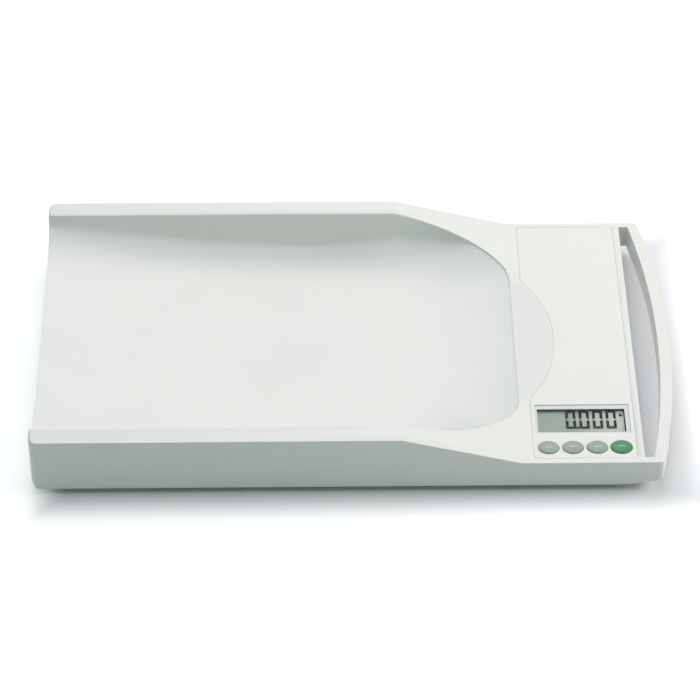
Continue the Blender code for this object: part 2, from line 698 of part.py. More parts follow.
def make_deck_openings():
    """The foil's recess, the display's opening and the keys' openings."""
    bm = bmesh.new()
    prism(bm, foil_outline(GAP), RECESS_FLOOR, TOP_OVER)
    recess = place("foil_recess", bm)
    through = bmesh.new()
    half_x, half_y = WINDOW_LENGTH / 2 - WINDOW_LEDGE, WINDOW_WIDTH / 2 - WINDOW_LEDGE
    block(through, (WINDOW_X - half_x, WINDOW_X + half_x), (WINDOW_Y - half_y, WINDOW_Y + half_y),
          (DECK_UNDERSIDE - OVERRUN / 2, DECK_HEIGHT))
    boolean(recess, place("display_opening", through), "UNION")
    boolean(recess, key_openings("shell_key_openings"), "UNION")
    return recess


def key_openings(name):
    bm = bmesh.new()
    for _, x, half in key_places():
        size = (half[0] + KEY_CLEARANCE, half[1] + KEY_CLEARANCE)
        loft(bm, [oval((x, KEY_ROW_Y), size, z) for z in (DECK_UNDERSIDE - OVERRUN / 2, DECK_HEIGHT + OVERRUN / 10)])
    return place(name, bm)


def make_foil(finish):
    """The overlay on the deck, open at the display and at the keys."""
    bm = bmesh.new()
    prism(bm, foil_outline(0), DECK_HEIGHT - FOIL_THICKNESS, DECK_HEIGHT)
    foil = place("control_foil", bm, finish)
    opening = bmesh.new()
    half_x, half_y = WINDOW_LENGTH / 2 + GAP, WINDOW_WIDTH / 2 + GAP
    block(opening, (WINDOW_X - half_x, WINDOW_X + half_x), (WINDOW_Y - half_y, WINDOW_Y + half_y),
          (RECESS_FLOOR - OVERRUN, DECK_HEIGHT + OVERRUN))
    boolean(foil, place("foil_window", opening))
    boolean(foil, key_openings("foil_key_openings"))
    return foil


def make_display(clear, glass, frame_finish, board_finish):
    """The clear pane, the numeric display, its holder and the circuit board under them."""
    bm = bmesh.new()
    half_x, half_y = WINDOW_LENGTH / 2, WINDOW_WIDTH / 2
    block(bm, (WINDOW_X - half_x, WINDOW_X + half_x), (WINDOW_Y - half_y, WINDOW_Y + half_y),
          (DECK_HEIGHT - FOIL_THICKNESS, DECK_HEIGHT))
    place("display_window", bm, clear)
    span_x = (WINDOW_X - LCD_HALF[0], WINDOW_X + LCD_HALF[0])
    span_y = (WINDOW_Y - LCD_HALF[1], WINDOW_Y + LCD_HALF[1])
    bm = bmesh.new()
    block(bm, span_x, span_y, (LCD_TOP - LCD_THICKNESS, LCD_TOP))
    place("lcd_panel", bm, glass)
    bm = bmesh.new()
    block(bm, span_x, span_y, (BOARD_TOP + GAP, FRAME_TOP))
    frame = place("lcd_frame", bm, frame_finish)
    opening = bmesh.new()
    wall = LCD_FRAME_WALL
    block(opening, (span_x[0] + wall, span_x[1] - wall), (span_y[0] + wall, span_y[1] - wall),
          (BOARD_TOP - OVERRUN, FRAME_TOP + OVERRUN))
    boolean(frame, place("frame_opening", opening))
    bm = bmesh.new()
    block(bm, span_x, (BOARD_FRONT, BOARD_REAR), (BOARD_BOTTOM, BOARD_TOP))
    place("main_board", bm, board_finish)


def make_keys(grey, green, plastic, brass):
    """Domed oval keys, each over a switch with a plunger that goes down with the key."""
    for name, x, half in key_places():
        centre = (x, KEY_ROW_Y)
        flange = (half[0] + KEY_FLANGE, half[1] + KEY_FLANGE)
        flange_bottom = FLANGE_TOP - KEY_FLANGE_THICKNESS
        stem = (STEM_RADIUS, STEM_RADIUS)
        rows = [oval(centre, stem, STEM_BOTTOM), oval(centre, stem, flange_bottom)]
        rows += [oval(centre, flange, flange_bottom), oval(centre, flange, FLANGE_TOP), oval(centre, half, FLANGE_TOP)]
        for turn in spread(0, KEY_DOME_ANGLE, KEY_DOME_STEPS):
            share = math.cos(turn)
            rise = KEY_RISE * blend(KEY_EDGE_SHARE, 1, math.sin(turn))
            rows.append(oval(centre, (half[0] * share, half[1] * share), DECK_HEIGHT + rise))
        bm = bmesh.new()
        loft(bm, rows)
        key = place(name, bm, green if name == "button_start" else grey)
        label = name.removeprefix("button_")
        half_side = SWITCH_SIDE / 2
        bm = bmesh.new()
        block(bm, (x - half_side, x + half_side), (KEY_ROW_Y - half_side, KEY_ROW_Y + half_side), (SWITCH_BOTTOM, SWITCH_TOP))
        body = place("switch_body_" + label, bm, plastic)
        seat = SWITCH_TOP - PLUNGER_SEAT
        bore = bmesh.new()
        bore_bottom = seat - KEY_TRAVEL - GAP
        disc(bore, x, KEY_ROW_Y, PLUNGER_RADIUS + GAP, bore_bottom, SWITCH_TOP + OVERRUN, PLUNGER_SEGMENTS)
        boolean(body, place("switch_bore_" + label, bore))
        bm = bmesh.new()
        disc(bm, x, KEY_ROW_Y, PLUNGER_RADIUS, seat, PLUNGER_TOP, PLUNGER_SEGMENTS)
        plunger = place("switch_plunger_" + label, bm, brass)
        for moving in (key, plunger):
            set_origin(moving, (x, KEY_ROW_Y, DECK_HEIGHT))


def set_origin(made, point):
    """Moves an object's origin to a point without moving its shape."""
    made.data.transform(Matrix.Translation(-Vector(point)))
    made.location = point


def make_lower_shell(finish):
    """The base plate: lip, screw pillars, cell pockets, board pillars and the battery well."""
    bm = bmesh.new()
    sweep = [(x, skirt_height(x) + BASE_RECESS) for x in spread(UPSWEEP_START, BASE_END, 4)]
    outline = [(BASE_START, BASE_BOTTOM)] + sweep
    outline += [(x, z + BASE_THICKNESS) for x, z in reversed(sweep)] + [(BASE_START, BASE_TOP)]
    side_prism(bm, outline, -BASE_HALF, BASE_HALF)
    base = place("lower_shell", bm, finish)
    raised = bmesh.new()
    middle = (BASE_BOTTOM + BASE_TOP) / 2
    lip_end = BASE_END - BASE_GAP
    prism(raised, [(BASE_START, -BASE_HALF), (lip_end, -BASE_HALF), (lip_end, BASE_HALF), (BASE_START, BASE_HALF)],
          middle + BASE_RECESS, LIP_TOP)
    rim = place("base_lip", raised)
    inner = bmesh.new()
    wall = BASE_LIP_WALL
    block(inner, (BASE_START + wall, lip_end - wall), (wall - BASE_HALF, BASE_HALF - wall), (FLOOR_GAP, LIP_TOP + OVERRUN))
    boolean(rim, place("base_lip_inside", inner))
    boolean(base, rim, "UNION")
    pillars = bmesh.new()
    for x, y in screw_places():
        disc(pillars, x, y, PILLAR_RADIUS, middle, LIP_TOP, BOSS_SEGMENTS)
    for x, y in board_posts():
        disc(pillars, x, y, BOARD_POST_RADIUS, middle, BOARD_BOTTOM - GAP, POST_SEGMENTS)
    boolean(base, place("base_pillars", pillars), "UNION")
    pockets = bmesh.new()
    for x, y, _ in FOOT_PLACES:
        outer = POCKET_HALF + POCKET_WALL
        prism(pockets, rounded((x - outer, x + outer), (y - outer, y + outer), CELL_CORNER), middle, POCKET_TOP)
    boolean(base, place("cell_pockets", pockets), "UNION")
    well = bmesh.new()
    wall = WELL_WALL
    block(well, (WELL_START - wall, WELL_END + wall), (-WELL_HALF - wall, WELL_HALF + wall), (middle, WELL_TOP + wall))
    boolean(base, place("battery_well", well), "UNION")
    flange = bmesh.new()
    margin = FLANGE_MARGIN
    start = HINGE_X - COVER_BARREL_RADIUS - GAP - margin
    block(flange, (start, COVER_END + margin), (-COVER_HALF - margin, COVER_HALF + margin),
          (BASE_BOTTOM, BASE_BOTTOM + FLANGE_HEIGHT))
    boolean(base, place("cover_flange", flange), "UNION")
    boolean(base, make_base_cuts())
    boolean(base, make_cover_recess())
    return base


def make_base_cuts():
    """Cell pockets, foot holes and screw holes, which don't touch one another."""
    bm = bmesh.new()
    for x, y, _ in FOOT_PLACES:
        inner = POCKET_HALF
        prism(bm, rounded((x - inner, x + inner), (y - inner, y + inner), CELL_CORNER), BASE_TOP, POCKET_TOP + OVERRUN)
    cuts = place("pocket_hollows", bm)
    holes = bmesh.new()
    for x, y, _ in FOOT_PLACES:
        disc(holes, x, y, STEM_FOOT_RADIUS + BASE_GAP, FLOOR_GAP - OVERRUN, BASE_TOP + CELL_THICKNESS)
    for x, y in screw_places():
        head = BASE_BOTTOM + SCREW_RECESS + SCREW_HEAD_HEIGHT + GAP
        wide, narrow = SCREW_HEAD_RADIUS + BASE_GAP, SCREW_RADIUS + GAP
        over, under = LIP_TOP + OVERRUN, FLOOR_GAP - OVERRUN
        profile = [(0, under), (wide, under), (wide, head), (narrow, head), (narrow, over), (0, over)]
        turned(holes, profile, SCREW_SEGMENTS, (x, y, 0))
    boolean(cuts, place("base_holes", holes), "UNION")
    return cuts


def make_cover_recess():
    """The well's mouth, the ledge that the cover lies on and the seats of its hinge pins."""
    bm = bmesh.new()
    block(bm, (WELL_START, WELL_END), (-WELL_HALF, WELL_HALF), (FLOOR_GAP - OVERRUN, WELL_TOP))
    recess = place("well_hollow", bm)
    ledge = bmesh.new()
    left = HINGE_X - COVER_BARREL_RADIUS - GAP
    block(ledge, (left, COVER_END + GAP), (-COVER_HALF - GAP, COVER_HALF + GAP), (FLOOR_GAP - OVERRUN, COVER_TOP + GAP))
    boolean(recess, place("cover_ledge", ledge), "UNION")
    boolean(recess, hinge_rod("barrel_seat", COVER_HALF + GAP, COVER_BARREL_RADIUS + GAP, BARREL_SEGMENTS), "UNION")
    pin_half = COVER_HALF + HINGE_PIN_LENGTH + GAP
    boolean(recess, hinge_rod("pin_seat", pin_half, HINGE_PIN_RADIUS + GAP, PIN_SEGMENTS), "UNION")
    notch = bmesh.new()
    disc(notch, COVER_END, 0, NOTCH_RADIUS, FLOOR_GAP - OVERRUN, BASE_BOTTOM + NOTCH_DEPTH, NOTCH_SEGMENTS)
    boolean(recess, place("finger_notch", notch), "UNION")
    return recess


def hinge_rod(name, half, radius, segments):
    """A rod along the battery cover's hinge axis."""
    bm = bmesh.new()
    across = Matrix.Rotation(math.pi / 2, 4, "X")
    turned(bm, [(0, -half), (radius, -half), (radius, half), (0, half)], segments, (HINGE_X, 0, HINGE_Z), across)
    return place(name, bm)


def make_cover(finish):
    """The battery cover, a plate with a round hinge edge and two pins."""
    bm = bmesh.new()
    block(bm, (HINGE_X, COVER_END), (-COVER_HALF, COVER_HALF), (COVER_BOTTOM, COVER_TOP))
    cover = place("battery_cover", bm, finish)
    boolean(cover, hinge_rod("cover_barrel", COVER_HALF, COVER_BARREL_RADIUS, BARREL_SEGMENTS), "UNION")
    boolean(cover, hinge_rod("cover_pins", COVER_HALF + HINGE_PIN_LENGTH, HINGE_PIN_RADIUS, PIN_SEGMENTS), "UNION")
    set_origin(cover, (HINGE_X, 0, HINGE_Z))


def ribbon(path, thickness):
    """A strip of even thickness along a path in XZ, as an outline with mitred bends."""
    points = [Vector(point) for point in path]
    ways = [(b - a).normalized() for a, b in zip(points, points[1:])]
    normals = [Vector((-way.y, way.x)) for way in ways]
    side = []
    for point, before, after in zip(points, normals[:1] + normals, normals + normals[-1:]):
        mitre = (before + after).normalized()
        side.append(point + mitre * (thickness / mitre.dot(before)))
    return [tuple(p) for p in points] + [tuple(p) for p in reversed(side)]


def make_batteries(sleeve, metal):
    """Six cells side by side, each turned the other way, and the leaf contacts that join them in series."""
    rows = [(i - (CELL_COUNT - 1) / 2) * BATTERY_PITCH for i in range(CELL_COUNT)]
    middle = (WELL_START + WELL_END) / 2
    half = (BATTERY_LENGTH + BATTERY_NUB) / 2
    body = BATTERY_LENGTH - half
    profile = [(0, -half), (BATTERY_RADIUS, -half), (BATTERY_RADIUS, body), (BATTERY_NUB_RADIUS, body)]
    profile += [(BATTERY_NUB_RADIUS, half), (0, half)]
    for i, y in enumerate(rows):
        bm = bmesh.new()
        way = Matrix.Rotation(math.pi / 2 if i % 2 else -math.pi / 2, 4, "Y")
        turned(bm, profile, BATTERY_SEGMENTS, (middle, y, BATTERY_Z), way)
        place(f"battery_{i + 1}", bm, sleeve)
    joined = [("start", rows[i], rows[i + 1]) for i in (0, 2, 4)]
    joined += [("end", rows[0], rows[0]), ("end", rows[1], rows[2]), ("end", rows[3], rows[4]), ("end", rows[5], rows[5])]
    low, high = BATTERY_Z - CONTACT_HEIGHT / 2, BATTERY_Z + CONTACT_HEIGHT / 2
    for i, (end, first, last) in enumerate(joined):
        wall, way = (WELL_START + GAP, 1) if end == "start" else (WELL_END - GAP, -1)
        reach = CONTACT_REACH - CONTACT_THICKNESS
        path = [(0, high), (0, low), (reach, BATTERY_Z), (reach / 2, (BATTERY_Z + high) / 2)]
        outline = ribbon(path, CONTACT_THICKNESS)
        bm = bmesh.new()
        side_prism(bm, [(wall + way * x, z) for x, z in outline], first - CONTACT_WIDTH / 2, last + CONTACT_WIDTH / 2)
        place(f"battery_contact_{i + 1}", bm, metal)


def make_feet(steel, plastic, rubber):
    """At each corner: a rubber pad, a cup on a stem, a load cell and the cap that holds the cell down."""
    for x, y, corner in FOOT_PLACES:
        cup_top = BASE_BOTTOM - CUP_TRAVEL
        pad_seat = PAD_HEIGHT + GAP
        rim = pad_seat - CUP_WALL_HEIGHT
        inner = PAD_RADIUS + GAP
        bm = bmesh.new()
        turned(bm, [(0, 0), (PAD_RADIUS - GAP, 0), (PAD_RADIUS, GAP), (PAD_RADIUS, PAD_HEIGHT), (0, PAD_HEIGHT)],
               FOOT_SEGMENTS, (x, y, 0))
        place("foot_pad_" + corner, bm, rubber)
        bm = bmesh.new()
        profile = [(0, pad_seat), (inner, pad_seat), (inner, rim), (CUP_RADIUS, rim), (CUP_RADIUS, cup_top)]
        profile += [(STEM_FOOT_RADIUS, cup_top), (STEM_FOOT_RADIUS, BASE_TOP), (0, BASE_TOP)]
        turned(bm, profile, FOOT_SEGMENTS, (x, y, 0))
        place("foot_cup_" + corner, bm, plastic)
        make_load_cell(x, y, corner, steel)
        make_cap(x, y, corner, plastic)


def make_load_cell(x, y, corner, finish):
    """A steel plate whose tongue, freed by a U-shaped slit, carries the foot."""
    half = CELL_SIDE / 2
    bm = bmesh.new()
    prism(bm, rounded((x - half, x + half), (y - half, y + half), CELL_CORNER), CELL_BOTTOM, CELL_TOP)
    cell = place("load_cell_" + corner, bm, finish)
    inner, outer = CELL_TONGUE / 2, CELL_TONGUE / 2 + CELL_SLIT
    slit = bmesh.new()
    shape = [(-outer, inner), (-outer, -outer), (outer, -outer), (outer, inner), (inner, inner)]
    shape += [(inner, -inner), (-inner, -inner), (-inner, inner)]
    way = 1 if y < 0 else -1
    prism(slit, [(x + a, y + way * b) for a, b in shape], CELL_BOTTOM - OVERRUN, CELL_TOP + OVERRUN)
    boolean(cell, place("slit_" + corner, slit))


def make_cap(x, y, corner, finish):
    """The cap that presses on the frame of the load cell and leaves its tongue free."""
    legs_bottom = CELL_TOP + GAP
    inner = POCKET_HALF - GAP
    outer = POCKET_HALF + POCKET_WALL
    relief = inner * CAP_RELIEF_SHARE
    bm = bmesh.new()
    prism(bm, rounded((x - outer, x + outer), (y - outer, y + outer), CELL_CORNER),
          POCKET_TOP + GAP, POCKET_TOP + GAP + CAP_PLATE)
    cap = place("cell_cap_" + corner, bm, finish)
    plug = bmesh.new()
    prism(plug, rounded((x - inner, x + inner), (y - inner, y + inner), CELL_CORNER),
          legs_bottom, POCKET_TOP + GAP + CAP_PLATE / 2)
    boolean(cap, place("cap_plug_" + corner, plug), "UNION")
    hollow = bmesh.new()
    prism(hollow, rounded((x - relief, x + relief), (y - relief, y + relief), CELL_CORNER),
          legs_bottom - OVERRUN, legs_bottom + CAP_LEG * CAP_RELIEF_SHARE)
    boolean(cap, place("cap_relief_" + corner, hollow))


def make_screws(finish):
    """The screws that pull the base plate to the upper shell."""
    low = BASE_BOTTOM + SCREW_RECESS
    shoulder = low + SCREW_HEAD_HEIGHT
    tip = LIP_TOP + SCREW_REACH
    profile = [(0, low), (SCREW_HEAD_RADIUS, low), (SCREW_HEAD_RADIUS, shoulder), (SCREW_RADIUS, shoulder)]
    profile += [(SCREW_RADIUS, tip - SCREW_RADIUS), (0, tip)]
    for i, (x, y) in enumerate(screw_places()):
        bm = bmesh.new()
        turned(bm, profile, SCREW_SEGMENTS, (x, y, 0))
        place(f"housing_screw_{i + 1}", bm, finish)


def main():
    for old in list(bpy.data.objects):
        bpy.data.objects.remove(old)
    white = material("white_plastic", (0.80, 0.82, 0.80), 0.42)
    base_white = material("base_plastic", (0.72, 0.74, 0.72), 0.5)
    foil = material("foil", (0.80, 0.82, 0.80), 0.35)
    clear = material("clear_window", (0.8, 0.85, 0.82), 0.05)
    display = material("display_glass", (0.36, 0.42, 0.38), 0.2)
    grey = material("grey_key", (0.36, 0.41, 0.38), 0.4)
    green = material("green_key", (0.05, 0.27, 0.12), 0.4)
    dark = material("dark_plastic", (0.05, 0.05, 0.05), 0.5)
    board = material("board_laminate", (0.02, 0.12, 0.05), 0.4)
    brass = material("contact_metal", (0.75, 0.72, 0.6), 0.3, 1.0)
    steel = material("steel", (0.6, 0.6, 0.6), 0.3, 1.0)
    rubber = material("foot_rubber", (0.05, 0.05, 0.05), 0.8)
    sleeve = material("battery_sleeve", (0.1, 0.1, 0.11), 0.35)
    make_upper_shell(white)
    make_lower_shell(base_white)
    make_foil(foil)
    make_display(clear, display, dark, board)
    make_keys(grey, green, dark, brass)
    make_cover(base_white)
    make_batteries(sleeve, brass)
    make_feet(steel, base_white, rubber)
    make_screws(steel)
    for made in bpy.data.objects:
        if not made.hide_render:
            settle(made)
    for tool in [made for made in bpy.data.objects if made.hide_render]:
        bpy.data.objects.remove(tool)


main()
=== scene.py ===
import math

import bmesh
import bpy
from bpy.props import FloatProperty, FloatVectorProperty, IntProperty, PointerProperty
from mathutils import Matrix, Vector


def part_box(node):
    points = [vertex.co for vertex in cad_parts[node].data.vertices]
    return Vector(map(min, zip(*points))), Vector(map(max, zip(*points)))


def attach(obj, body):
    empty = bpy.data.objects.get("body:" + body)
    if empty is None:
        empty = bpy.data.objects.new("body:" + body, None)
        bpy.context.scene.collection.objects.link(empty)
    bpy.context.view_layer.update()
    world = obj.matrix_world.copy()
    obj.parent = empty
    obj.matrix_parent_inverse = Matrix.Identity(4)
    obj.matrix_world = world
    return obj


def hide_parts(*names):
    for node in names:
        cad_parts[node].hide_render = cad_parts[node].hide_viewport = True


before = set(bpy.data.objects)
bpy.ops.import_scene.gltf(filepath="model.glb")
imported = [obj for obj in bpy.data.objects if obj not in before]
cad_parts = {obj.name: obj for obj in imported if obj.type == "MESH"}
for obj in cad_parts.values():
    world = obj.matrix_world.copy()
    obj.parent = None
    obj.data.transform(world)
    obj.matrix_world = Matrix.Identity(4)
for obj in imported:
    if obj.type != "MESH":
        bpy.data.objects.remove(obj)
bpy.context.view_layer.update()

bl_info = {
    "name": "Baby Weighing Scale",
    "version": (1, 0, 0),
    "blender": (4, 5, 0),
    "location": "View3D > Sidebar > Scale",
    "description": "Dresses the frame of a digital baby weighing scale: shell, display, keys, feet and battery bay",
    "category": "Object",
}

MM = 0.001
MERGE = 1e-6
SQUARE = 0.99999
CREASE = math.radians(32)
WHITE = (1.0, 1.0, 1.0, 1.0)
HOUSING = "housing"
KEYS = ("button_1", "button_2", "button_3", "button_start")
CORNERS = ("front_left", "front_right", "rear_left", "rear_right")
CORNER_CUTS = 6
FOOT_CORNER_BEFORE = 3.0 * MM
HANDLE_CORNER_BEFORE = 1.2 * MM
HANDLE_BOW = 17.5 * MM
# How far inside the foot end the floor's painted shadow begins to fade, so that little of it shows past that end.
LIT_SIDE_INSET = 30.0 * MM


def srgb(*levels):
    """Linear colour from screen levels of 0 to 255."""
    shares = [level / 255 for level in levels]
    return tuple(share / 12.92 if share <= 0.04045 else ((share + 0.055) / 1.055) ** 2.4 for share in shares)


def colour_of(label, levels, about):
    return FloatVectorProperty(name=label, description=about, subtype="COLOR", size=3, min=0.0, max=1.0,
                               default=srgb(*levels))


def length_of(label, millimetres, about):
    return FloatProperty(name=label, description=about, subtype="DISTANCE", unit="LENGTH", precision=5,
                         default=millimetres * MM)


def power_of(label, watts, about):
    return FloatProperty(name=label, description="Power of the " + about, subtype="POWER", unit="POWER", default=watts)


class ScaleColours(bpy.types.PropertyGroup):
    """Colours of the scale's finishes."""

    shell: colour_of("Shell", (235, 237, 235), "White plastic of the tray and its rims")
    base: colour_of("Base", (218, 221, 218), "Plastic of the base plate, battery lid and foot cups")
    overlay: colour_of("Overlay", (237, 238, 236), "Printed foil on the deck")
    pane_print: colour_of("Pane print", (246, 252, 251), "Printed border behind the pane")
    # Colour of the dark frame round the clear field, which is partly the display's border and partly painted shade of
    # the recess.
    gasket: colour_of("Gasket", (14, 15, 24), "Dark frame between pane and display")
    display_left: colour_of("Display, left", (155, 173, 160), "Display background at its foot end")
    # Colour at the display's handle end: its ground with painted light added.
    display_right: colour_of("Display, right", (216, 226, 220), "Display background at its handle end")
    # Also the colour of the dark edge line at the display's handle end, which is partly border and partly painted
    # shade.
    digits: colour_of("Digits", (6, 7, 14), "Display digits")
    grey_key: colour_of("Grey key", (149, 163, 158), "The three grey keys")
    grey_mark: colour_of("Grey key mark", (205, 213, 208), "Marks on the grey keys")
    green_key: colour_of("Green key", (22, 127, 78), "The start key")
    green_mark: colour_of("Green key mark", (128, 192, 154), "Mark on the start key")
    board: colour_of("Board", (28, 92, 52), "Solder mask of the circuit board")
    rubber: colour_of("Rubber", (62, 63, 64), "Foot pads")
    sleeve: colour_of("Battery sleeve", (52, 66, 92), "Sleeve of the battery cells")
    sleeve_band: colour_of("Battery band", (196, 200, 204), "Band at the positive end of a cell")


class ScaleSizes(bpy.types.PropertyGroup):
    """Sizes of what the frame doesn't hold."""

    digit_width: length_of("Digit width", 8.8, "Width of one digit")
    digit_height: length_of("Digit height", 22.2, "Height of one digit")
    digit_stroke: length_of("Digit stroke", 2.5, "Width of an upright segment")
    digit_bar: length_of("Digit bar", 2.9, "Width of a level segment")
    point_width: length_of("Point width", 2.0, "Width of the decimal point")
    digit_pitch: length_of("Digit pitch", 11.55, "From one digit to the next")
    segment_gap: length_of("Segment gap", 0.24, "Space between two segments at a digit's corners")
    waist_gap: length_of("Waist gap", 0.8, "Space between two upright segments half way up")
    even_from: length_of("Even from", 60.0, "Where along X large faces start to lead the tray's shading")
    foot_corner: length_of("Foot corner", 7.5, "Plan radius of the two corners at the foot end")
    handle_corner: length_of("Handle corner", 6.0, "Plan radius of the two corners at the handle end")
    pane_print_rear: length_of("Print, rear", 4.6, "Width of the printed border at the pane's rear edge")
    pane_print_side: length_of("Print, side", 3.5, "Width of the printed border at the pane's handle end")
    pane_print_thin: length_of("Print, thin", 1.5, "Width of the printed border on the other two sides")
    mark_height: length_of("Mark height", 0.06, "How far a key's mark stands up")
    groove_depth: length_of("Pad groove", 0.5, "Depth of the grooves in a foot pad")
    oval_steps: IntProperty(name="Oval steps", description="Points round a key", default=72, min=24, max=128)
    round_steps: IntProperty(name="Round steps", description="Points round a turned piece", default=64, min=24, max=128)


class ScaleLights(bpy.types.PropertyGroup):
    """Studio levels."""

    dome: FloatVectorProperty(name="Dome", description="Colour of the even light from all round", subtype="COLOR",
                              size=3, default=(0.222, 0.3, 0.266))
    overhead: power_of("Overhead", 10.5, "soft box above")
    side: power_of("Side", 29.2, "soft box at the handle end")
    rear: power_of("Rear", 4.2, "low soft box behind")
    upper_rear: power_of("Upper rear", 13.7, "soft box above and behind")
    glow: FloatProperty(name="Floor glow", description="Light of its own that lifts the seen floor to white",
                        default=0.5)
    # The reach is the width of the shadow that the fading floor glow paints round the object.
    reach: FloatProperty(name="Glow reach", description="How far from the object the floor has its full glow",
                         subtype="DISTANCE", unit="LENGTH", default=0.04)


def colours():
    return bpy.context.scene.scale_colours


def sizes():
    return bpy.context.scene.scale_sizes


def lights():
    return bpy.context.scene.scale_lights


def wire(tree, kind, inputs=None, **settings):
    """Adds a shader node, and sets its inputs or links them to sockets."""
    made = tree.nodes.new("ShaderNode" + kind)
    for label, value in settings.items():
        setattr(made, label, value)
    for label, value in (inputs or {}).items():
        if isinstance(value, bpy.types.NodeSocket):
            tree.links.new(value, made.inputs[label])
        else:
            made.inputs[label].default_value = value
    return made


class Finish:
    """One material, built up round its Principled shader on Object coordinates."""

    def __init__(self, name, colour, roughness, **sockets):
        self.material = bpy.data.materials.new(name)
        self.material.use_nodes = True
        self.tree = self.material.node_tree
        self.shader = self.tree.nodes["Principled BSDF"]
        self.shader.inputs["Base Color"].default_value = (*colour, 1.0)
        self.shader.inputs["Roughness"].default_value = roughness
        for label, value in sockets.items():
            self.shader.inputs[label.replace("_", " ")].default_value = value
        self.colour = tuple(colour)
        self.place = self.node("TexCoord").outputs["Object"]

    def node(self, kind, inputs=None, **settings):
        return wire(self.tree, kind, inputs, **settings)

    def feed(self, label, value):
        """Links a value into the shader."""
        self.tree.links.new(value, self.shader.inputs[label])

    def noise(self, size, detail=2.0, scale=None):
        """Clouds whose features are about this size in metres, or drawn out along an axis."""
        place = self.node("Mapping", {"Vector": self.place, "Scale": scale}).outputs[0] if scale else self.place
        return self.node("TexNoise", {"Vector": place, "Scale": 1 / size, "Detail": detail}).outputs["Fac"]

    def ramp(self, value, low, high, first=0.0, last=1.0):
        """Maps a value's range from low and high to first and last."""
        inputs = {"Value": value, "From Min": low, "From Max": high, "To Min": first, "To Max": last}
        return self.node("MapRange", inputs).outputs["Result"]

    def mix(self, share, first, last, blend="MIX"):
        """Mixes two colours or colour sockets."""
        first, last = (value if isinstance(value, bpy.types.NodeSocket) else (*value, 1.0) for value in (first, last))
        return self.node("Mix", {"Factor": share, 6: first, 7: last}, data_type="RGBA", blend_type=blend).outputs[2]

    def shade(self, factor):
        """A darker or lighter form of the finish's colour."""
        return tuple(min(channel * factor, 1.0) for channel in self.colour)

    def cloud(self, size, first, last, detail=3.0, spread=0.15):
        """Faint clouds between two shades of the colour."""
        share = self.ramp(self.noise(size, detail), 0.5 - spread, 0.5 + spread)
        self.feed("Base Color", self.mix(share, self.shade(first), self.shade(last)))

    def gloss(self, noise, low, high):
        """Varies the roughness between two values."""
        self.feed("Roughness", self.ramp(noise, 0.3, 0.7, low, high))

    def bump(self, height, distance, strength=1.0):
        """Adds a relief, on top of what is there."""
        above = self.node("Bump", {"Height": height, "Distance": distance, "Strength": strength})
        normal = self.shader.inputs["Normal"]
        if normal.is_linked:
            self.tree.links.new(normal.links[0].from_socket, above.inputs["Normal"])
        self.tree.links.new(above.outputs["Normal"], normal)


def moulded(name, colour, roughness, grain=0.35 * MM, depth=0.006 * MM, drift=0.025, scuffs=0.05, **sockets):
    """Moulded plastic: eroded grain, faint flow clouds in its colour, and fine scuffs in its gloss."""
    made = Finish(name, colour, roughness, **sockets)
    made.cloud(60 * MM, 1 - drift, 1 + drift / 2)
    hair = made.noise(1.2 * MM, 4.0, (1.0, 0.12, 1.0))
    made.feed("Roughness", made.ramp(hair, 0.3, 0.75, roughness - scuffs / 2, roughness + scuffs))
    made.bump(made.noise(grain, 3.0), depth)
    made.bump(made.noise(18 * MM, 1.0), 0.02 * MM, 0.5)
    return made.material


def base_finish(name, drift=0.04):
    """The coarser plastic of the base plate, the lid and the caps."""
    return moulded(name, colours().base, 0.5, grain=0.6 * MM, depth=0.02 * MM, drift=drift)


def metal(name, colour, roughness, draw=(1.0, 14.0, 14.0)):
    """Drawn or pressed metal: fine lines along one axis and a few dull patches."""
    made = Finish(name, colour, roughness, Metallic=1.0)
    lines = made.noise(2.0 * MM, 4.0, draw)
    patches = made.ramp(made.noise(4 * MM, 3.0), 0.4, 0.7)
    made.feed("Base Color", made.mix(patches, made.colour, made.shade(0.82)))
    made.gloss(lines, roughness - 0.08, roughness + 0.14)
    made.bump(lines, 0.004 * MM)
    return made.material


def overlay_finish():
    """Polyester foil with a fine velvet emboss."""
    made = Finish("overlay_foil", colours().overlay, 0.34)
    made.cloud(45 * MM, 1.0, 0.985, 2.0, 0.1)
    cells = made.node("TexVoronoi", {"Vector": made.place, "Scale": 1 / (0.28 * MM)}).outputs["Distance"]
    made.bump(cells, 0.004 * MM)
    made.gloss(made.noise(3 * MM, 4.0), 0.3, 0.4)
    return made.material


def pane_finish():
    """Clear acrylic: nearly see-through, with a hard gloss and a trace of fine wipe marks."""
    made = Finish("clear_pane", srgb(90, 96, 98), 0.04, Alpha=0.07, IOR=1.49)
    wipes = made.noise(3 * MM, 4.0, (0.15, 1.0, 1.0))
    made.feed("Roughness", made.ramp(wipes, 0.3, 0.8, 0.03, 0.09))
    made.bump(made.noise(9 * MM, 1.0), 0.004 * MM)
    return made.material


def display_finish(low, high):
    """Display glass: a grey green ground with painted light that lightens it towards the handle, with the cells' faint
    raster.
    """
    made = Finish("display_ground", colours().display_left, 0.22)
    across = made.node("SeparateXYZ", {"Vector": made.place}).outputs["X"]
    # Painted light: the ground lightens from the foot end towards the handle end.
    share = made.ramp(across, low, high)
    ground = made.mix(share, colours().display_left, colours().display_right)
    clouds = made.ramp(made.noise(14 * MM, 2.0), 0.35, 0.65)
    shaded = made.mix(clouds, (0.955, 0.97, 0.955), (1.0, 1.0, 1.0))
    made.feed("Base Color", made.mix(1.0, ground, shaded, blend="MULTIPLY"))
    made.gloss(made.noise(0.3 * MM), 0.2, 0.3)
    made.bump(made.noise(0.25 * MM), 0.002 * MM)
    return made.material


def key_finish(name, colour):
    """Key cap: soft satin lacquer with faint clouds in its colour and gloss."""
    made = Finish(name, colour, 0.36, Coat_Weight=0.15, Coat_Roughness=0.3)
    made.cloud(5 * MM, 0.94, 1.03)
    made.gloss(made.noise(1.5 * MM, 3.0), 0.3, 0.44)
    made.bump(made.noise(0.2 * MM), 0.004 * MM)
    return made.material


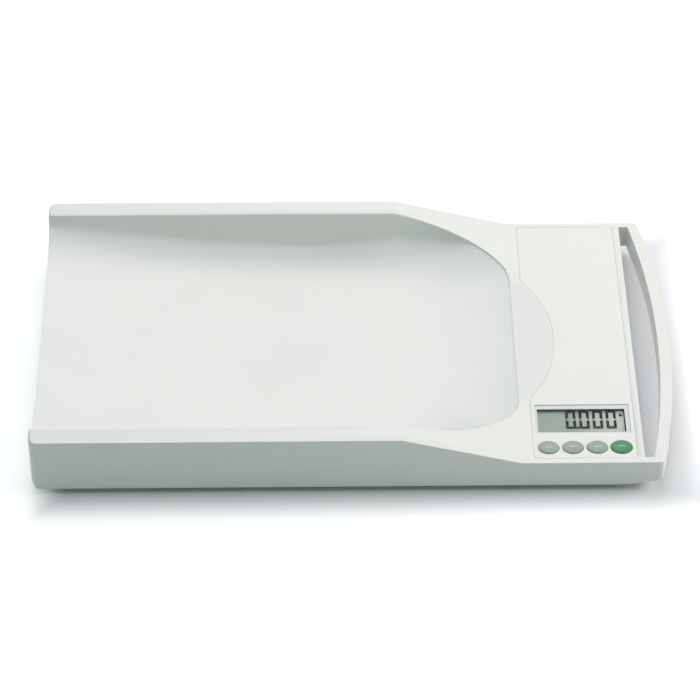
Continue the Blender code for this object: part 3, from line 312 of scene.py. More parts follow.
def board_finish():
    """Circuit board: green mask over copper tracks and pads."""
    made = Finish("board_mask", colours().board, 0.32)
    tracks = made.node("TexBrick", {"Vector": made.place, "Scale": 1.0, "Brick Width": 7 * MM,
                                    "Row Height": 1.6 * MM, "Mortar Size": 0.25 * MM, "Mortar Smooth": 0.4})
    line = made.ramp(tracks.outputs["Fac"], 0.0, 1.0)
    made.feed("Base Color", made.mix(line, made.colour, made.shade(1.6)))
    made.gloss(made.noise(2 * MM, 3.0), 0.26, 0.4)
    made.bump(line, 0.03 * MM)
    return made.material


def rubber_finish():
    """Foot rubber: dull, with a coarse grain and pale dust."""
    made = Finish("foot_rubber", colours().rubber, 0.82, Specular_IOR_Level=0.3)
    dust = made.ramp(made.noise(2.5 * MM, 5.0), 0.5, 0.75, 0.0, 0.35)
    made.feed("Base Color", made.mix(dust, made.colour, srgb(120, 118, 112)))
    made.gloss(made.noise(1 * MM, 3.0), 0.74, 0.9)
    made.bump(made.noise(0.5 * MM, 3.0), 0.03 * MM)
    return made.material


def sleeve_finish(name, colour):
    """Shrunk battery sleeve: glossy film with faint shrink ripples."""
    made = Finish(name, colour, 0.24, Coat_Weight=0.4)
    made.cloud(8 * MM, 0.93, 1.05)
    made.gloss(made.noise(2 * MM, 3.0), 0.2, 0.32)
    made.bump(made.noise(3 * MM, 2.0, (0.3, 1.0, 1.0)), 0.03 * MM, 0.6)
    return made.material


def put(name, data):
    """Adds an object with this data to the scene."""
    made = bpy.data.objects.new(name, data)
    bpy.context.scene.collection.objects.link(made)
    return made


def make_piece(bm, name, body, finishes, stands_for=()):
    """Makes the mesh an object that rides on a body and may stand for nodes of the frame."""
    mesh = bpy.data.meshes.new(name)
    bm.to_mesh(mesh)
    bm.free()
    for finish in finishes:
        mesh.materials.append(finish)
    mesh.shade_smooth()
    mesh.set_sharp_from_angle(angle=CREASE)
    piece = put(name, mesh)
    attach(piece, body)
    if stands_for:
        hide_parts(*stands_for)
    return piece


def closed_outwards(bm):
    """Joins a mesh's loose edges and turns its faces outwards."""
    bmesh.ops.remove_doubles(bm, verts=bm.verts, dist=MERGE)
    bmesh.ops.recalc_face_normals(bm, faces=bm.faces)
    return bm


def merged_copy(node):
    """A node's shape with its loose triangles joined."""
    bm = bmesh.new()
    bm.from_mesh(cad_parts[node].data)
    bmesh.ops.remove_doubles(bm, verts=bm.verts, dist=MERGE)
    return bm


def round_corner(bm, corner, first, second, radius, before):
    """Draws an upright corner between two sides' outward normals from one plan radius to a larger one."""
    corner, first, second = Vector(corner), Vector(first).normalized(), Vector(second).normalized()
    spread = (first + second) / (1 + first.dot(second))
    centre, small = corner - spread * radius, corner - spread * before
    twist = first.x * second.y - first.y * second.x
    reach = radius * spread.length + MM

    def shares(gap):
        """How far a step goes along each of the two ways."""
        return (gap.x * second.y - gap.y * second.x) / twist, (first.x * gap.y - first.y * gap.x) / twist

    def near(face):
        return all(min(vert.co[k] for vert in face.verts) < centre[k] + reach
                   and max(vert.co[k] for vert in face.verts) > centre[k] - reach for k in (0, 1))

    def within(face):
        return near(face) and min(shares(face.calc_center_median().to_2d() - centre)) > 0

    for i in (0, CORNER_CUTS, *range(1, CORNER_CUTS)):
        way = first.slerp(second, i / CORNER_CUTS)
        faces = [face for face in bm.faces if (within if 0 < i < CORNER_CUTS else near)(face)]
        edges = {edge for face in faces for edge in face.edges}
        verts = {vert for face in faces for vert in face.verts}
        bmesh.ops.bisect_plane(bm, geom=faces + sorted(edges, key=lambda edge: edge.index)
                               + sorted(verts, key=lambda vert: vert.index), dist=MERGE,
                               plane_co=(*centre, 0.0), plane_no=(-way.y, way.x, 0.0))
        bm.verts.index_update()
        bm.edges.index_update()
    for vert in bm.verts:
        gap = vert.co.to_2d() - centre
        if min(shares(gap)) < MERGE:
            continue
        way = gap.normalized()
        side = min(radius / way.dot(normal) for normal in (first, second) if way.dot(normal) > 0)
        inset = small - centre
        root = way.dot(inset) ** 2 - inset.length_squared + before ** 2
        if root > 0:
            arc = way.dot(inset) + math.sqrt(root)
            if min(shares(way * arc - inset)) > 0:
                side = arc
        vert.co.xy = centre + gap * (radius / side)


def even_out(piece, beyond=None):
    """Lets large faces lead the shading, for the whole piece or only past a place along X."""
    even = piece.modifiers.new("even_normals", "WEIGHTED_NORMAL")
    even.keep_sharp = True
    if beyond is not None:
        group = piece.vertex_groups.new(name="even")
        group.add([vert.index for vert in piece.data.vertices if vert.co.x > beyond], 1.0, "REPLACE")
        even.vertex_group = group.name


def flatten(piece):
    """Keeps the shading of faces square to the axes apart from the curves beside them."""
    for face in piece.data.polygons:
        face.use_smooth = max(abs(part) for part in face.normal) < SQUARE


def paint(node, finish):
    """Gives a node that stays its finish."""
    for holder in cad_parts[node].material_slots:
        holder.material = finish


def moved(geometry):
    """The points among what an extrusion made."""
    return [item for item in geometry if isinstance(item, bmesh.types.BMVert)]


def raise_face(bm, face, matrix):
    """Extrudes a face, moves the new one, and returns it."""
    grown = bmesh.ops.extrude_face_region(bm, geom=[face])["geom"]
    bmesh.ops.transform(bm, matrix=matrix, verts=moved(grown))
    return next(item for item in grown if isinstance(item, bmesh.types.BMFace))


def slab(bm, low, high):
    """A box between two corners."""
    made = bmesh.ops.create_cube(bm, size=1.0)
    low, high = Vector(low), Vector(high)
    spot = Matrix.Translation((low + high) / 2) @ Matrix.Diagonal((*(high - low), 1.0))
    bmesh.ops.transform(bm, matrix=spot, verts=made["verts"])
    return made["verts"]


def turned(bm, profile, centre, steps=None, turn=None, closed=False):
    """A solid of revolution from (radius, height) points in metres, about an upright axis unless it is turned."""
    fresh = bmesh.new()
    points = [fresh.verts.new((radius, 0.0, height)) for radius, height in profile]
    pairs = list(zip(points, points[1:])) + ([(points[-1], points[0])] if closed else [])
    edges = [fresh.edges.new(pair) for pair in pairs]
    bmesh.ops.spin(fresh, geom=points + edges, cent=(0, 0, 0), axis=(0, 0, 1), dvec=(0, 0, 0),
                   angle=math.tau, steps=steps or sizes().round_steps, use_merge=True)
    closed_outwards(fresh)
    fresh.transform(Matrix.Translation(centre) @ (turn or Matrix()))
    scratch = bpy.data.meshes.new("part")
    fresh.to_mesh(scratch)
    fresh.free()
    bm.from_mesh(scratch)
    bpy.data.meshes.remove(scratch)
    return bm


def middle(node):
    low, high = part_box(node)
    return (low + high) / 2


class Step:
    """What the panel's operators share: each builds its pieces and stops with an error if it can't."""

    bl_options = {"REGISTER", "UNDO"}

    def execute(self, context):
        made = self.build()
        if not made:
            raise RuntimeError(f"{self.bl_label} made nothing")
        return {"FINISHED"}


class SCALE_OT_shell(Step, bpy.types.Operator):
    """Dress the tray moulding and the base plate"""

    bl_idname = "baby_scale.shell"
    bl_label = "Shell and base"

    def build(self):
        white, pale = moulded("shell_plastic", colours().shell, 0.36, drift=0.01), base_finish("base_plastic")
        top, plate = merged_copy("upper_shell"), merged_copy("lower_shell")
        low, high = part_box("upper_shell")
        half = (high.y - low.y) / 2
        sweep = (half ** 2 + HANDLE_BOW ** 2) / (2 * HANDLE_BOW)
        for way in (-1, 1):
            for bm in (top, plate):
                round_corner(bm, (low.x, way * half), (-1, 0), (0, way), sizes().foot_corner, FOOT_CORNER_BEFORE)
            round_corner(top, (high.x - HANDLE_BOW, way * half), (sweep - HANDLE_BOW, way * half), (0, way),
                         sizes().handle_corner, HANDLE_CORNER_BEFORE)
        shell = make_piece(top, "tray_shell", HOUSING, [white], ["upper_shell"])
        base = make_piece(plate, "base_shell", HOUSING, [pale], ["lower_shell"])
        even_out(shell, beyond=sizes().even_from)
        flatten(base)
        return [shell, base]


class SCALE_OT_display(Step, bpy.types.Operator):
    """Fit the overlay, the pane with its print, the display and its digits"""

    bl_idname = "baby_scale.display"
    bl_label = "Display and overlay"

    # Where the painted light on the display starts and where it reaches its full level, measured in from the display's
    # two ends.
    fade_start, fade_end = 30 * MM, 4 * MM
    film_edge, film_low, film_high = 0.12 * MM, 0.22 * MM, 0.03 * MM
    gasket_wall, gasket_edge, gasket_low, gasket_high = 0.22 * MM, 1.4 * MM, 0.12 * MM, 0.25 * MM
    ink_low, ink_high = 0.01 * MM, 0.06 * MM
    digits_start, digits_past = 24.2 * MM, 0.8 * MM
    edge_line, edge_line_start, edge_line_gap = 0.9 * MM, 3.6 * MM, 0.02 * MM
    mark_place, mark_width, mark_slope, mark_tall = (5.4 * MM, 6.6 * MM), 3.8 * MM, 0.7 * MM, 2.3 * MM
    mark_ring, mark_hole, mark_ring_up = 0.95 * MM, 0.5 * MM, 3.0 * MM

    def build(self):
        paint("control_foil", overlay_finish())
        paint("display_window", pane_finish())
        low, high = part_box("lcd_panel")
        paint("lcd_panel", display_finish(low.x + self.fade_start, high.x - self.fade_end))
        paint("lcd_frame", moulded("frame_plastic", srgb(40, 41, 44), 0.5))
        return [self.print_sheet(), self.gasket(), self.digits(), self.unit_mark()]

    def ink_heights(self):
        """Between which heights the digits and marks stand on the display."""
        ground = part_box("lcd_panel")[1].z
        return ground + self.ink_low, ground + self.ink_high

    def opening(self):
        """The corners of the clear field inside the pane's print."""
        low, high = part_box("display_window")
        thin = sizes().pane_print_thin
        return (Vector((low.x + thin, low.y + thin)),
                Vector((high.x - sizes().pane_print_side, high.y - sizes().pane_print_rear)))

    def ring(self, bm, outer, inner, bottom, top):
        """A flat rectangular ring between two heights."""
        made = bmesh.ops.create_grid(bm, x_segments=3, y_segments=3, size=0.5)["verts"]
        across = (outer[0].x, inner[0].x, inner[1].x, outer[1].x)
        along = (outer[0].y, inner[0].y, inner[1].y, outer[1].y)
        for vert in made:
            column, row = round((vert.co.x + 0.5) * 3), round((vert.co.y + 0.5) * 3)
            vert.co = (across[column], along[row], bottom)
        centre = (inner[0] + inner[1]) / 2
        hole = min(bm.faces, key=lambda face: (face.calc_center_median().to_2d() - centre).length)
        bmesh.ops.delete(bm, geom=[hole], context="FACES_ONLY")
        grown = bmesh.ops.extrude_face_region(bm, geom=bm.faces[:])["geom"]
        bmesh.ops.translate(bm, verts=moved(grown), vec=(0, 0, top - bottom))
        return closed_outwards(bm)

    def print_sheet(self):
        """The pale border printed on a film behind the pane."""
        low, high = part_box("display_window")
        film = Finish("pane_print", colours().pane_print, 0.3)
        film.cloud(20 * MM, 1.0, 0.97, 2.0, 0.1)
        film.bump(film.noise(0.4 * MM), 0.002 * MM)
        edge = Vector.Fill(2, self.film_edge)
        outer = (low.to_2d() + edge, high.to_2d() - edge)
        bm = self.ring(bmesh.new(), outer, self.opening(), low.z - self.film_low, low.z - self.film_high)
        return make_piece(bm, "pane_print_film", HOUSING, [film.material])

    def gasket(self):
        """The dark frame that walls the clear field down to the display: partly the display's dark border, partly
        painted shade of the recess walls that show at the rear and handle end.
        """
        low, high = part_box("display_window")
        inner = self.opening()
        outer = inner[0] - Vector.Fill(2, self.gasket_wall), high.to_2d() - Vector.Fill(2, self.gasket_edge)
        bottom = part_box("lcd_panel")[1].z + self.gasket_low
        bm = self.ring(bmesh.new(), outer, inner, bottom, low.z - self.gasket_high)
        dark = moulded("gasket_foam", colours().gasket, 0.75, grain=0.3 * MM, depth=0.03 * MM)
        return make_piece(bm, "display_gasket", HOUSING, [dark])

    def bar(self, bm, corners, bottom, top):
        """A flat segment with these corners."""
        face = bm.faces.new([bm.verts.new((x, y, bottom)) for x, y in corners])
        raise_face(bm, face, Matrix.Translation((0, 0, top - bottom)))

    def zero(self, bm, left, low, bottom, top):
        """A nought of six mitred segments."""
        size = sizes()
        wide, tall, stroke, bar = size.digit_width, size.digit_height, size.digit_stroke, size.digit_bar
        gap, waist = size.segment_gap / 2, size.waist_gap / 2
        right, high, half = left + wide, low + tall, low + tall / 2
        for outer, inner in ((left, left + stroke), (right, right - stroke)):
            self.bar(bm, [(outer, low + gap), (outer, half - waist), (inner, half - stroke / 2 - waist),
                          (inner, low + bar + gap)], bottom, top)
            self.bar(bm, [(outer, high - gap), (outer, half + waist), (inner, half + stroke / 2 + waist),
                          (inner, high - bar - gap)], bottom, top)
        for outer, inner in ((low, low + bar), (high, high - bar)):
            self.bar(bm, [(left + gap, outer), (right - gap, outer), (right - stroke - gap, inner),
                          (left + stroke + gap, inner)], bottom, top)

    def digits(self):
        """0.000, as thin raised segments, with the dark edge line at the handle end, which is partly the display's dark
        border and partly painted shade of the recess.
        """
        bm = bmesh.new()
        low, high = self.opening()
        ground, top = self.ink_heights()
        first = low.x + self.digits_start
        foot = high.y + self.digits_past - sizes().digit_height
        for place in range(4):
            self.zero(bm, first + place * sizes().digit_pitch, foot, ground, top)
        spot = first + (sizes().digit_width + sizes().digit_pitch) / 2
        left, right, tall = spot - sizes().point_width / 2, spot + sizes().point_width / 2, foot + sizes().digit_bar
        self.bar(bm, [(left, foot), (right, foot), (right, tall), (left, tall)], ground, top)
        # Dark edge line at the handle end: partly the display's dark border, partly painted shade of the recess wall.
        slab(bm, (high.x - self.edge_line, low.y + self.edge_line_start, ground),
             (high.x - self.edge_line_gap, high.y, top))
        ink = Finish("digit_ink", colours().digits, 0.5, Specular_IOR_Level=0.08)
        ink.cloud(2 * MM, 0.85, 1.25, 2.0, 0.2)
        ink.bump(ink.noise(0.3 * MM), 0.001 * MM)
        return make_piece(closed_outwards(bm), "display_digits", HOUSING, [ink.material])

    def unit_mark(self):
        """A small weight pictogram beside the digits."""
        bm = bmesh.new()
        ground, top = self.ink_heights()
        left, low = self.opening()[1] - Vector(self.mark_place)
        right, high = left + self.mark_width, low + self.mark_tall
        self.bar(bm, [(left, low), (right, low), (right - self.mark_slope, high), (left + self.mark_slope, high)],
                 ground, top)
        hole, rim = self.mark_hole, self.mark_ring
        turned(bm, [(hole, ground), (rim, ground), (rim, top), (hole, top)],
               ((left + right) / 2, low + self.mark_ring_up, 0), steps=24, closed=True)
        ink = Finish("mark_ink", colours().digits, 0.5, Specular_IOR_Level=0.08)
        ink.feed("Base Color", ink.mix(ink.noise(1 * MM), ink.shade(1.2), ink.shade(1.9)))
        return make_piece(closed_outwards(bm), "display_unit_mark", HOUSING, [ink.material])


class SCALE_OT_keys(Step, bpy.types.Operator):
    """Shape the four domed keys and their raised marks"""

    bl_idname = "baby_scale.keys"
    bl_label = "Keys"

    rise = 1.6 * MM
    edge_share = 0.35
    flange, flange_thickness = 1.2 * MM, 1.0 * MM
    stem, stem_length = 2.2 * MM, 1.0 * MM
    wall_round = ((0.0, 0.35 * MM), (0.02 * MM, 0.12 * MM))
    dome_turn, dome_steps = math.radians(86), 16
    mark_step, mark_sunk = 0.5 * MM, 0.02 * MM
    # Each stroke: where it starts and ends from the key's middle, and its width, in mm.
    marks = {
        "button_1": (((-2.6, -1.2), (2.6, -1.2), 0.55), ((2.6, -1.2), (0.0, 1.9), 0.55),
                     ((0.0, 1.9), (-2.6, -1.2), 0.55)),
        "button_2": (((-2.7, -0.65), (2.7, -0.65), 0.55), ((-2.7, 0.65), (2.7, 0.65), 0.55)),
        "button_3": (((-3.5, 0.0), (-1.3, 0.0), 0.55), ((1.3, 0.0), (3.5, 0.0), 0.55), ((0.0, -1.1), (0.0, 1.1), 1.2)),
        "button_start": (((-3.0, 0.0), (3.0, 0.0), 1.1),),
    }

    def build(self):
        made = []
        finishes = {colour: (key_finish(colour + "_key", getattr(colours(), colour + "_key")),
                             key_finish(colour + "_key_mark", getattr(colours(), colour + "_mark")))
                    for colour in ("grey", "green")}
        for node in KEYS:
            colour = "green" if node == "button_start" else "grey"
            cap, mark = finishes[colour]
            made += [self.key(node, cap, colour + "_key"), self.mark(node, mark, colour + "_key")]
        return made

    def half(self, node):
        low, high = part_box(node)
        return (high.x - low.x) / 2 - self.flange, (high.y - low.y) / 2 - self.flange

    def deck(self):
        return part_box("control_foil")[1].z

    def dome(self, node, x, y):
        """The height of a key's top at a point."""
        spot, half = middle(node), self.half(node)
        share = min(math.hypot((x - spot.x) / half[0], (y - spot.y) / half[1]), 1.0)
        return self.deck() + self.rise * (self.edge_share + (1 - self.edge_share) * math.sqrt(1 - share ** 2))

    def key(self, node, finish, slot):
        """Flange, wall and dome, drawn up ring by ring from the flange's underside."""
        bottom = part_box(node)[0].z
        spot, half = middle(node), self.half(node)
        flange_low = bottom + self.stem_length
        flange_top = flange_low + self.flange_thickness
        wide = (half[0] + self.flange, half[1] + self.flange)
        stem = (self.stem, self.stem)
        rings = [(*stem, bottom), (*stem, flange_low), (*wide, flange_low), (*wide, flange_top), (*half, flange_top)]
        wall_top = self.deck() + self.rise * self.edge_share
        rings += [(half[0] - inward, half[1] - inward, wall_top - below) for inward, below in self.wall_round]
        for i in range(1, self.dome_steps + 1):
            turn = self.dome_turn * i / self.dome_steps
            share = math.cos(turn)
            rise = self.rise * (self.edge_share + (1 - self.edge_share) * math.sin(turn))
            rings.append((half[0] * share, half[1] * share, self.deck() + rise))
        bm = bmesh.new()
        bmesh.ops.create_circle(bm, cap_ends=True, radius=1.0, segments=sizes().oval_steps)
        bmesh.ops.scale(bm, vec=(rings[0][0], rings[0][1], 1.0), verts=bm.verts)
        bmesh.ops.translate(bm, vec=(spot.x, spot.y, rings[0][2]), verts=bm.verts)
        face = bm.faces[:][0]
        for before, after in zip(rings, rings[1:]):
            grow = Matrix.Diagonal((after[0] / before[0], after[1] / before[1], 1.0, 1.0))
            shift = Matrix.Translation((spot.x, spot.y, after[2])) @ grow @ Matrix.Translation(
                (-spot.x, -spot.y, -before[2]))
            face = raise_face(bm, face, shift)
        bmesh.ops.poke(bm, faces=[face])
        return make_piece(closed_outwards(bm), node.replace("button", "key_cap"), node, [finish], [node])

    def stroke(self, bm, start, end, width):
        """A flat bar between two points, cut small enough to follow the dome."""
        run = end - start
        steps = max(2, round(run.length / self.mark_step))
        bar = bmesh.ops.create_grid(bm, x_segments=steps, y_segments=2, size=0.5)
        turn = Matrix.Rotation(math.atan2(run.y, run.x), 4, "Z")
        spot = Matrix.Translation((*((start + end) / 2), 0.0))
        bmesh.ops.transform(bm, matrix=spot @ turn @ Matrix.Diagonal((run.length, width, 1.0, 1.0)), verts=bar["verts"])

    def mark(self, node, finish, slot):
        """A plain sign on the key, raised from its dome."""
        spot = middle(node).to_2d()
        bm = bmesh.new()
        for start, end, width in self.marks[node]:
            self.stroke(bm, spot + Vector(start) * MM, spot + Vector(end) * MM, width * MM)
        for vert in bm.verts:
            vert.co.z = self.dome(node, vert.co.x, vert.co.y) - self.mark_sunk
        for patch in islands(bm):
            grown = bmesh.ops.extrude_face_region(bm, geom=patch)["geom"]
            bmesh.ops.translate(bm, verts=moved(grown), vec=(0, 0, sizes().mark_height + self.mark_sunk))
        bmesh.ops.recalc_face_normals(bm, faces=bm.faces)
        return make_piece(bm, node.replace("button", "key_mark"), node, [finish])


def islands(bm):
    """The faces of each loose patch of a mesh."""
    left = set(bm.faces)
    while left:
        patch, edge = set(), [left.pop()]
        while edge:
            face = edge.pop()
            patch.add(face)
            near = {other for side in face.edges for other in side.link_faces} & left
            left -= near
            edge += near
        yield sorted(patch, key=lambda face: face.index)


class SCALE_OT_electronics(Step, bpy.types.Operator):
    """Finish the circuit board, the switches and the load cells"""

    bl_idname = "baby_scale.electronics"
    bl_label = "Board, switches and cells"

    def build(self):
        brass = metal("plated_contact", srgb(226, 220, 200), 0.26)
        steel = metal("ground_steel", srgb(190, 192, 194), 0.34)
        black = moulded("switch_plastic", srgb(38, 39, 42), 0.45)
        pale = base_finish("cap_plastic", drift=0.025)
        paint("main_board", board_finish())
        for node in KEYS:
            label = node.removeprefix("button_")
            paint("switch_body_" + label, black)
            paint("switch_plunger_" + label, brass)
        for corner in CORNERS:
            paint("load_cell_" + corner, steel)
            paint("cell_cap_" + corner, pale)
        return ["main_board"]


class SCALE_OT_feet(Step, bpy.types.Operator):
    """Turn the foot cups and their grooved rubber pads"""

    bl_idname = "baby_scale.feet"
    bl_label = "Feet"

    groove_shares = (0.28, 0.52, 0.76)
    groove_wall, groove_width = 0.25 * MM, 1.35 * MM
    pad_round, pad_step = 0.5 * MM, 0.15 * MM
    seat_gap, stem, shoulder, lip = 0.3 * MM, 7.0 * MM, 6.3 * MM, 0.4 * MM

    def build(self):
        plastic = moulded("cup_plastic", colours().base, 0.45, grain=0.5 * MM, depth=0.01 * MM)
        rubber = rubber_finish()
        made = []
        for corner in CORNERS:
            made.append(self.pad("foot_pad_" + corner, rubber))
            made.append(self.cup("foot_cup_" + corner, "foot_pad_" + corner, plastic))
        return made

    def pad(self, node, rubber):
        low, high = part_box(node)
        spot, radius, top = middle(node), (high.x - low.x) / 2, high.z
        deep = sizes().groove_depth
        profile = [(0.0, 0.0)]
        for share in self.groove_shares:
            near, far = radius * share, radius * share + self.groove_width
            profile += [(near, 0.0), (near + self.groove_wall, deep), (far - self.groove_wall, deep), (far, 0.0)]
        profile += [(radius - self.pad_round, 0.0), (radius - self.pad_step, self.pad_step), (radius, self.pad_round),
                    (radius, top), (0.0, top)]
        bm = turned(bmesh.new(), profile, (spot.x, spot.y, 0.0))
        return make_piece(bm, node.replace("foot_pad", "pad"), HOUSING, [rubber], [node])

    def cup(self, node, pad, plastic):
        low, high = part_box(node)
        spot, radius = middle(node), (high.x - low.x) / 2
        pad_low, pad_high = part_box(pad)
        inner, seat = (pad_high.x - pad_low.x) / 2 + self.seat_gap, pad_high.z + self.seat_gap
        stem, shoulder, lip = self.stem, self.shoulder, self.lip
        profile = [(0.0, seat), (inner, seat), (inner, low.z + lip), (inner + lip / 2, low.z), (radius - lip, low.z),
                   (radius, low.z + lip), (radius, shoulder - lip * 2), (radius - lip * 2, shoulder), (stem, shoulder),
                   (stem, high.z), (0.0, high.z)]
        bm = turned(bmesh.new(), profile, (spot.x, spot.y, 0.0))
        return make_piece(bm, node.replace("foot_cup", "cup"), HOUSING, [plastic], [node])


class SCALE_OT_battery_bay(Step, bpy.types.Operator):
    """Build the battery lid, the cells and their contacts"""

    bl_idname = "baby_scale.battery_bay"
    bl_label = "Battery bay"

    ribs, rib_pitch, rib_width, rib_half, rib_round = 5, 2.2 * MM, 0.9 * MM, 11 * MM, 0.2 * MM
    rib_start, rib_low, rib_high = 14.0 * MM, 0.35 * MM, 0.1 * MM
    band_length, nub_radius, nub_length, nub_round, wall_from = 9.0 * MM, 2.7 * MM, 1.2 * MM, 0.3 * MM, 6.35 * MM
    # A cell's crimped ends in mm: radius or inset, and how far from the end.
    foot, foot_edge = ((0, 0.15), (4.6, 0.15), (4.8, 0), (5.9, 0), (6.1, 0.5), (6.3, 0.35)), ((0.25, 0.1), (0, 0.45))
    shoulder_edge, shoulder = ((0, 0.5), (0.3, 0.1)), ((6.2, 0.35), (6.0, 0.6), (5.6, 0.3), (4.2, 0))

    def build(self):
        pale = base_finish("lid_plastic")
        bm = merged_copy("battery_cover")
        lid = make_piece(bm, "battery_lid", "battery_cover", [pale], ["battery_cover"])
        even_out(lid)
        made = [lid, self.grip(pale)]
        plated = metal("plated_leaf", srgb(214, 212, 204), 0.22, (14.0, 1.0, 14.0))
        for i in range(1, 8):
            paint(f"battery_contact_{i}", plated)
        tin = metal("cell_tin", srgb(205, 205, 206), 0.3)
        sleeve = sleeve_finish("cell_sleeve", colours().sleeve)
        band = sleeve_finish("cell_band", colours().sleeve_band)
        for i in range(1, 7):
            made.append(self.cell(f"battery_{i}", [tin, sleeve, band], 1 if i % 2 else -1))
        return made

    def grip(self, finish):
        """Raised ribs for a fingertip by the lid's free edge."""
        low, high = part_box("battery_cover")
        bm = bmesh.new()
        for i in range(self.ribs):
            x = high.x - self.rib_start - self.rib_pitch * i
            made = slab(bm, (x, -self.rib_half, low.z - self.rib_low),
                        (x + self.rib_width, self.rib_half, low.z + self.rib_high))
            under = [edge for edge in {e for v in made for e in v.link_edges}
                     if all(v.co.z < low.z for v in edge.verts)]
            bmesh.ops.bevel(bm, geom=under, offset=self.rib_round, offset_type="OFFSET", affect="EDGES", segments=2,
                            profile=0.5, material=-1, clamp_overlap=True)
        return make_piece(closed_outwards(bm), "lid_grip", "battery_cover", [finish])

    def cell(self, node, finishes, way):
        """A cell of one node's size, with crimped sleeve ends, a plain end plate and a nub."""
        low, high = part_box(node)
        spot, radius = middle(node), (high.z - low.z) / 2
        half = (high.x - low.x) / 2
        body, nub = half - self.nub_length, self.nub_radius
        profile = [(wide * MM, -half + up * MM) for wide, up in self.foot]
        profile += [(radius - inward * MM, -half + up * MM) for inward, up in self.foot_edge]
        profile.append((radius, body - self.band_length))
        profile += [(radius - inward * MM, body - down * MM) for inward, down in self.shoulder_edge]
        profile += [(wide * MM, body - down * MM) for wide, down in self.shoulder]
        profile += [(nub, body), (nub, half - self.nub_round), (nub - self.nub_round, half), (0.0, half)]
        turn = Matrix.Rotation(way * math.pi / 2, 4, "Y")
        bm = turned(bmesh.new(), profile, spot, turn=turn)
        for face in bm.faces:
            point = face.calc_center_median() - spot
            banded = point.x * way > body - self.band_length
            wall = math.hypot(point.y, point.z) > self.wall_from
            face.material_index = 0 if not wall else (2 if banded else 1)
        return make_piece(bm, node.replace("battery", "cell"), HOUSING, finishes, [node])


class SCALE_OT_screws(Step, bpy.types.Operator):
    """Make the housing screws with their six-lobed recesses"""

    bl_idname = "baby_scale.screws"
    bl_label = "Screws"

    head, head_height, shank = 3.0 * MM, 2.0 * MM, 1.4 * MM
    face, face_crown, face_round = 2.5 * MM, 0.06 * MM, 0.45 * MM
    lobes, lobe_share, rim = 6, 0.13, 1.75 * MM
    # Rings of the recess: the share of the rim, and the depth.
    recess = ((0.8, 0.02 * MM), (0.78, 1.1 * MM))

    def build(self):
        steel = metal("screw_steel", srgb(172, 174, 178), 0.3)
        return [self.screw(f"housing_screw_{i}", steel) for i in range(1, 9)]

    def screw(self, node, steel):
        low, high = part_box(node)
        spot, shoulder = middle(node), low.z + self.head_height
        profile = [(self.rim, low.z), (self.face, low.z + self.face_crown), (self.head, low.z + self.face_round),
                   (self.head, shoulder), (self.shank, shoulder), (self.shank, high.z - self.shank), (0.0, high.z)]
        bm = turned(bmesh.new(), profile, (0, 0, 0), steps=48)
        mouth = [edge for edge in bm.edges if len(edge.link_faces) == 1]
        for share, depth in self.recess:
            grown = bmesh.ops.extrude_edge_only(bm, edges=mouth)["geom"]
            for vert in moved(grown):
                turn = math.atan2(vert.co.y, vert.co.x)
                radius = self.rim * share * (1 + self.lobe_share * math.cos(self.lobes * turn))
                vert.co = (radius * math.cos(turn), radius * math.sin(turn), low.z + depth)
            mouth = [item for item in grown if isinstance(item, bmesh.types.BMEdge)]
        bmesh.ops.edgeloop_fill(bm, edges=mouth)
        bmesh.ops.translate(bm, vec=(spot.x, spot.y, 0.0), verts=bm.verts)
        name = node.replace("housing_screw", "screw")
        return make_piece(closed_outwards(bm), name, HOUSING, [steel], [node])


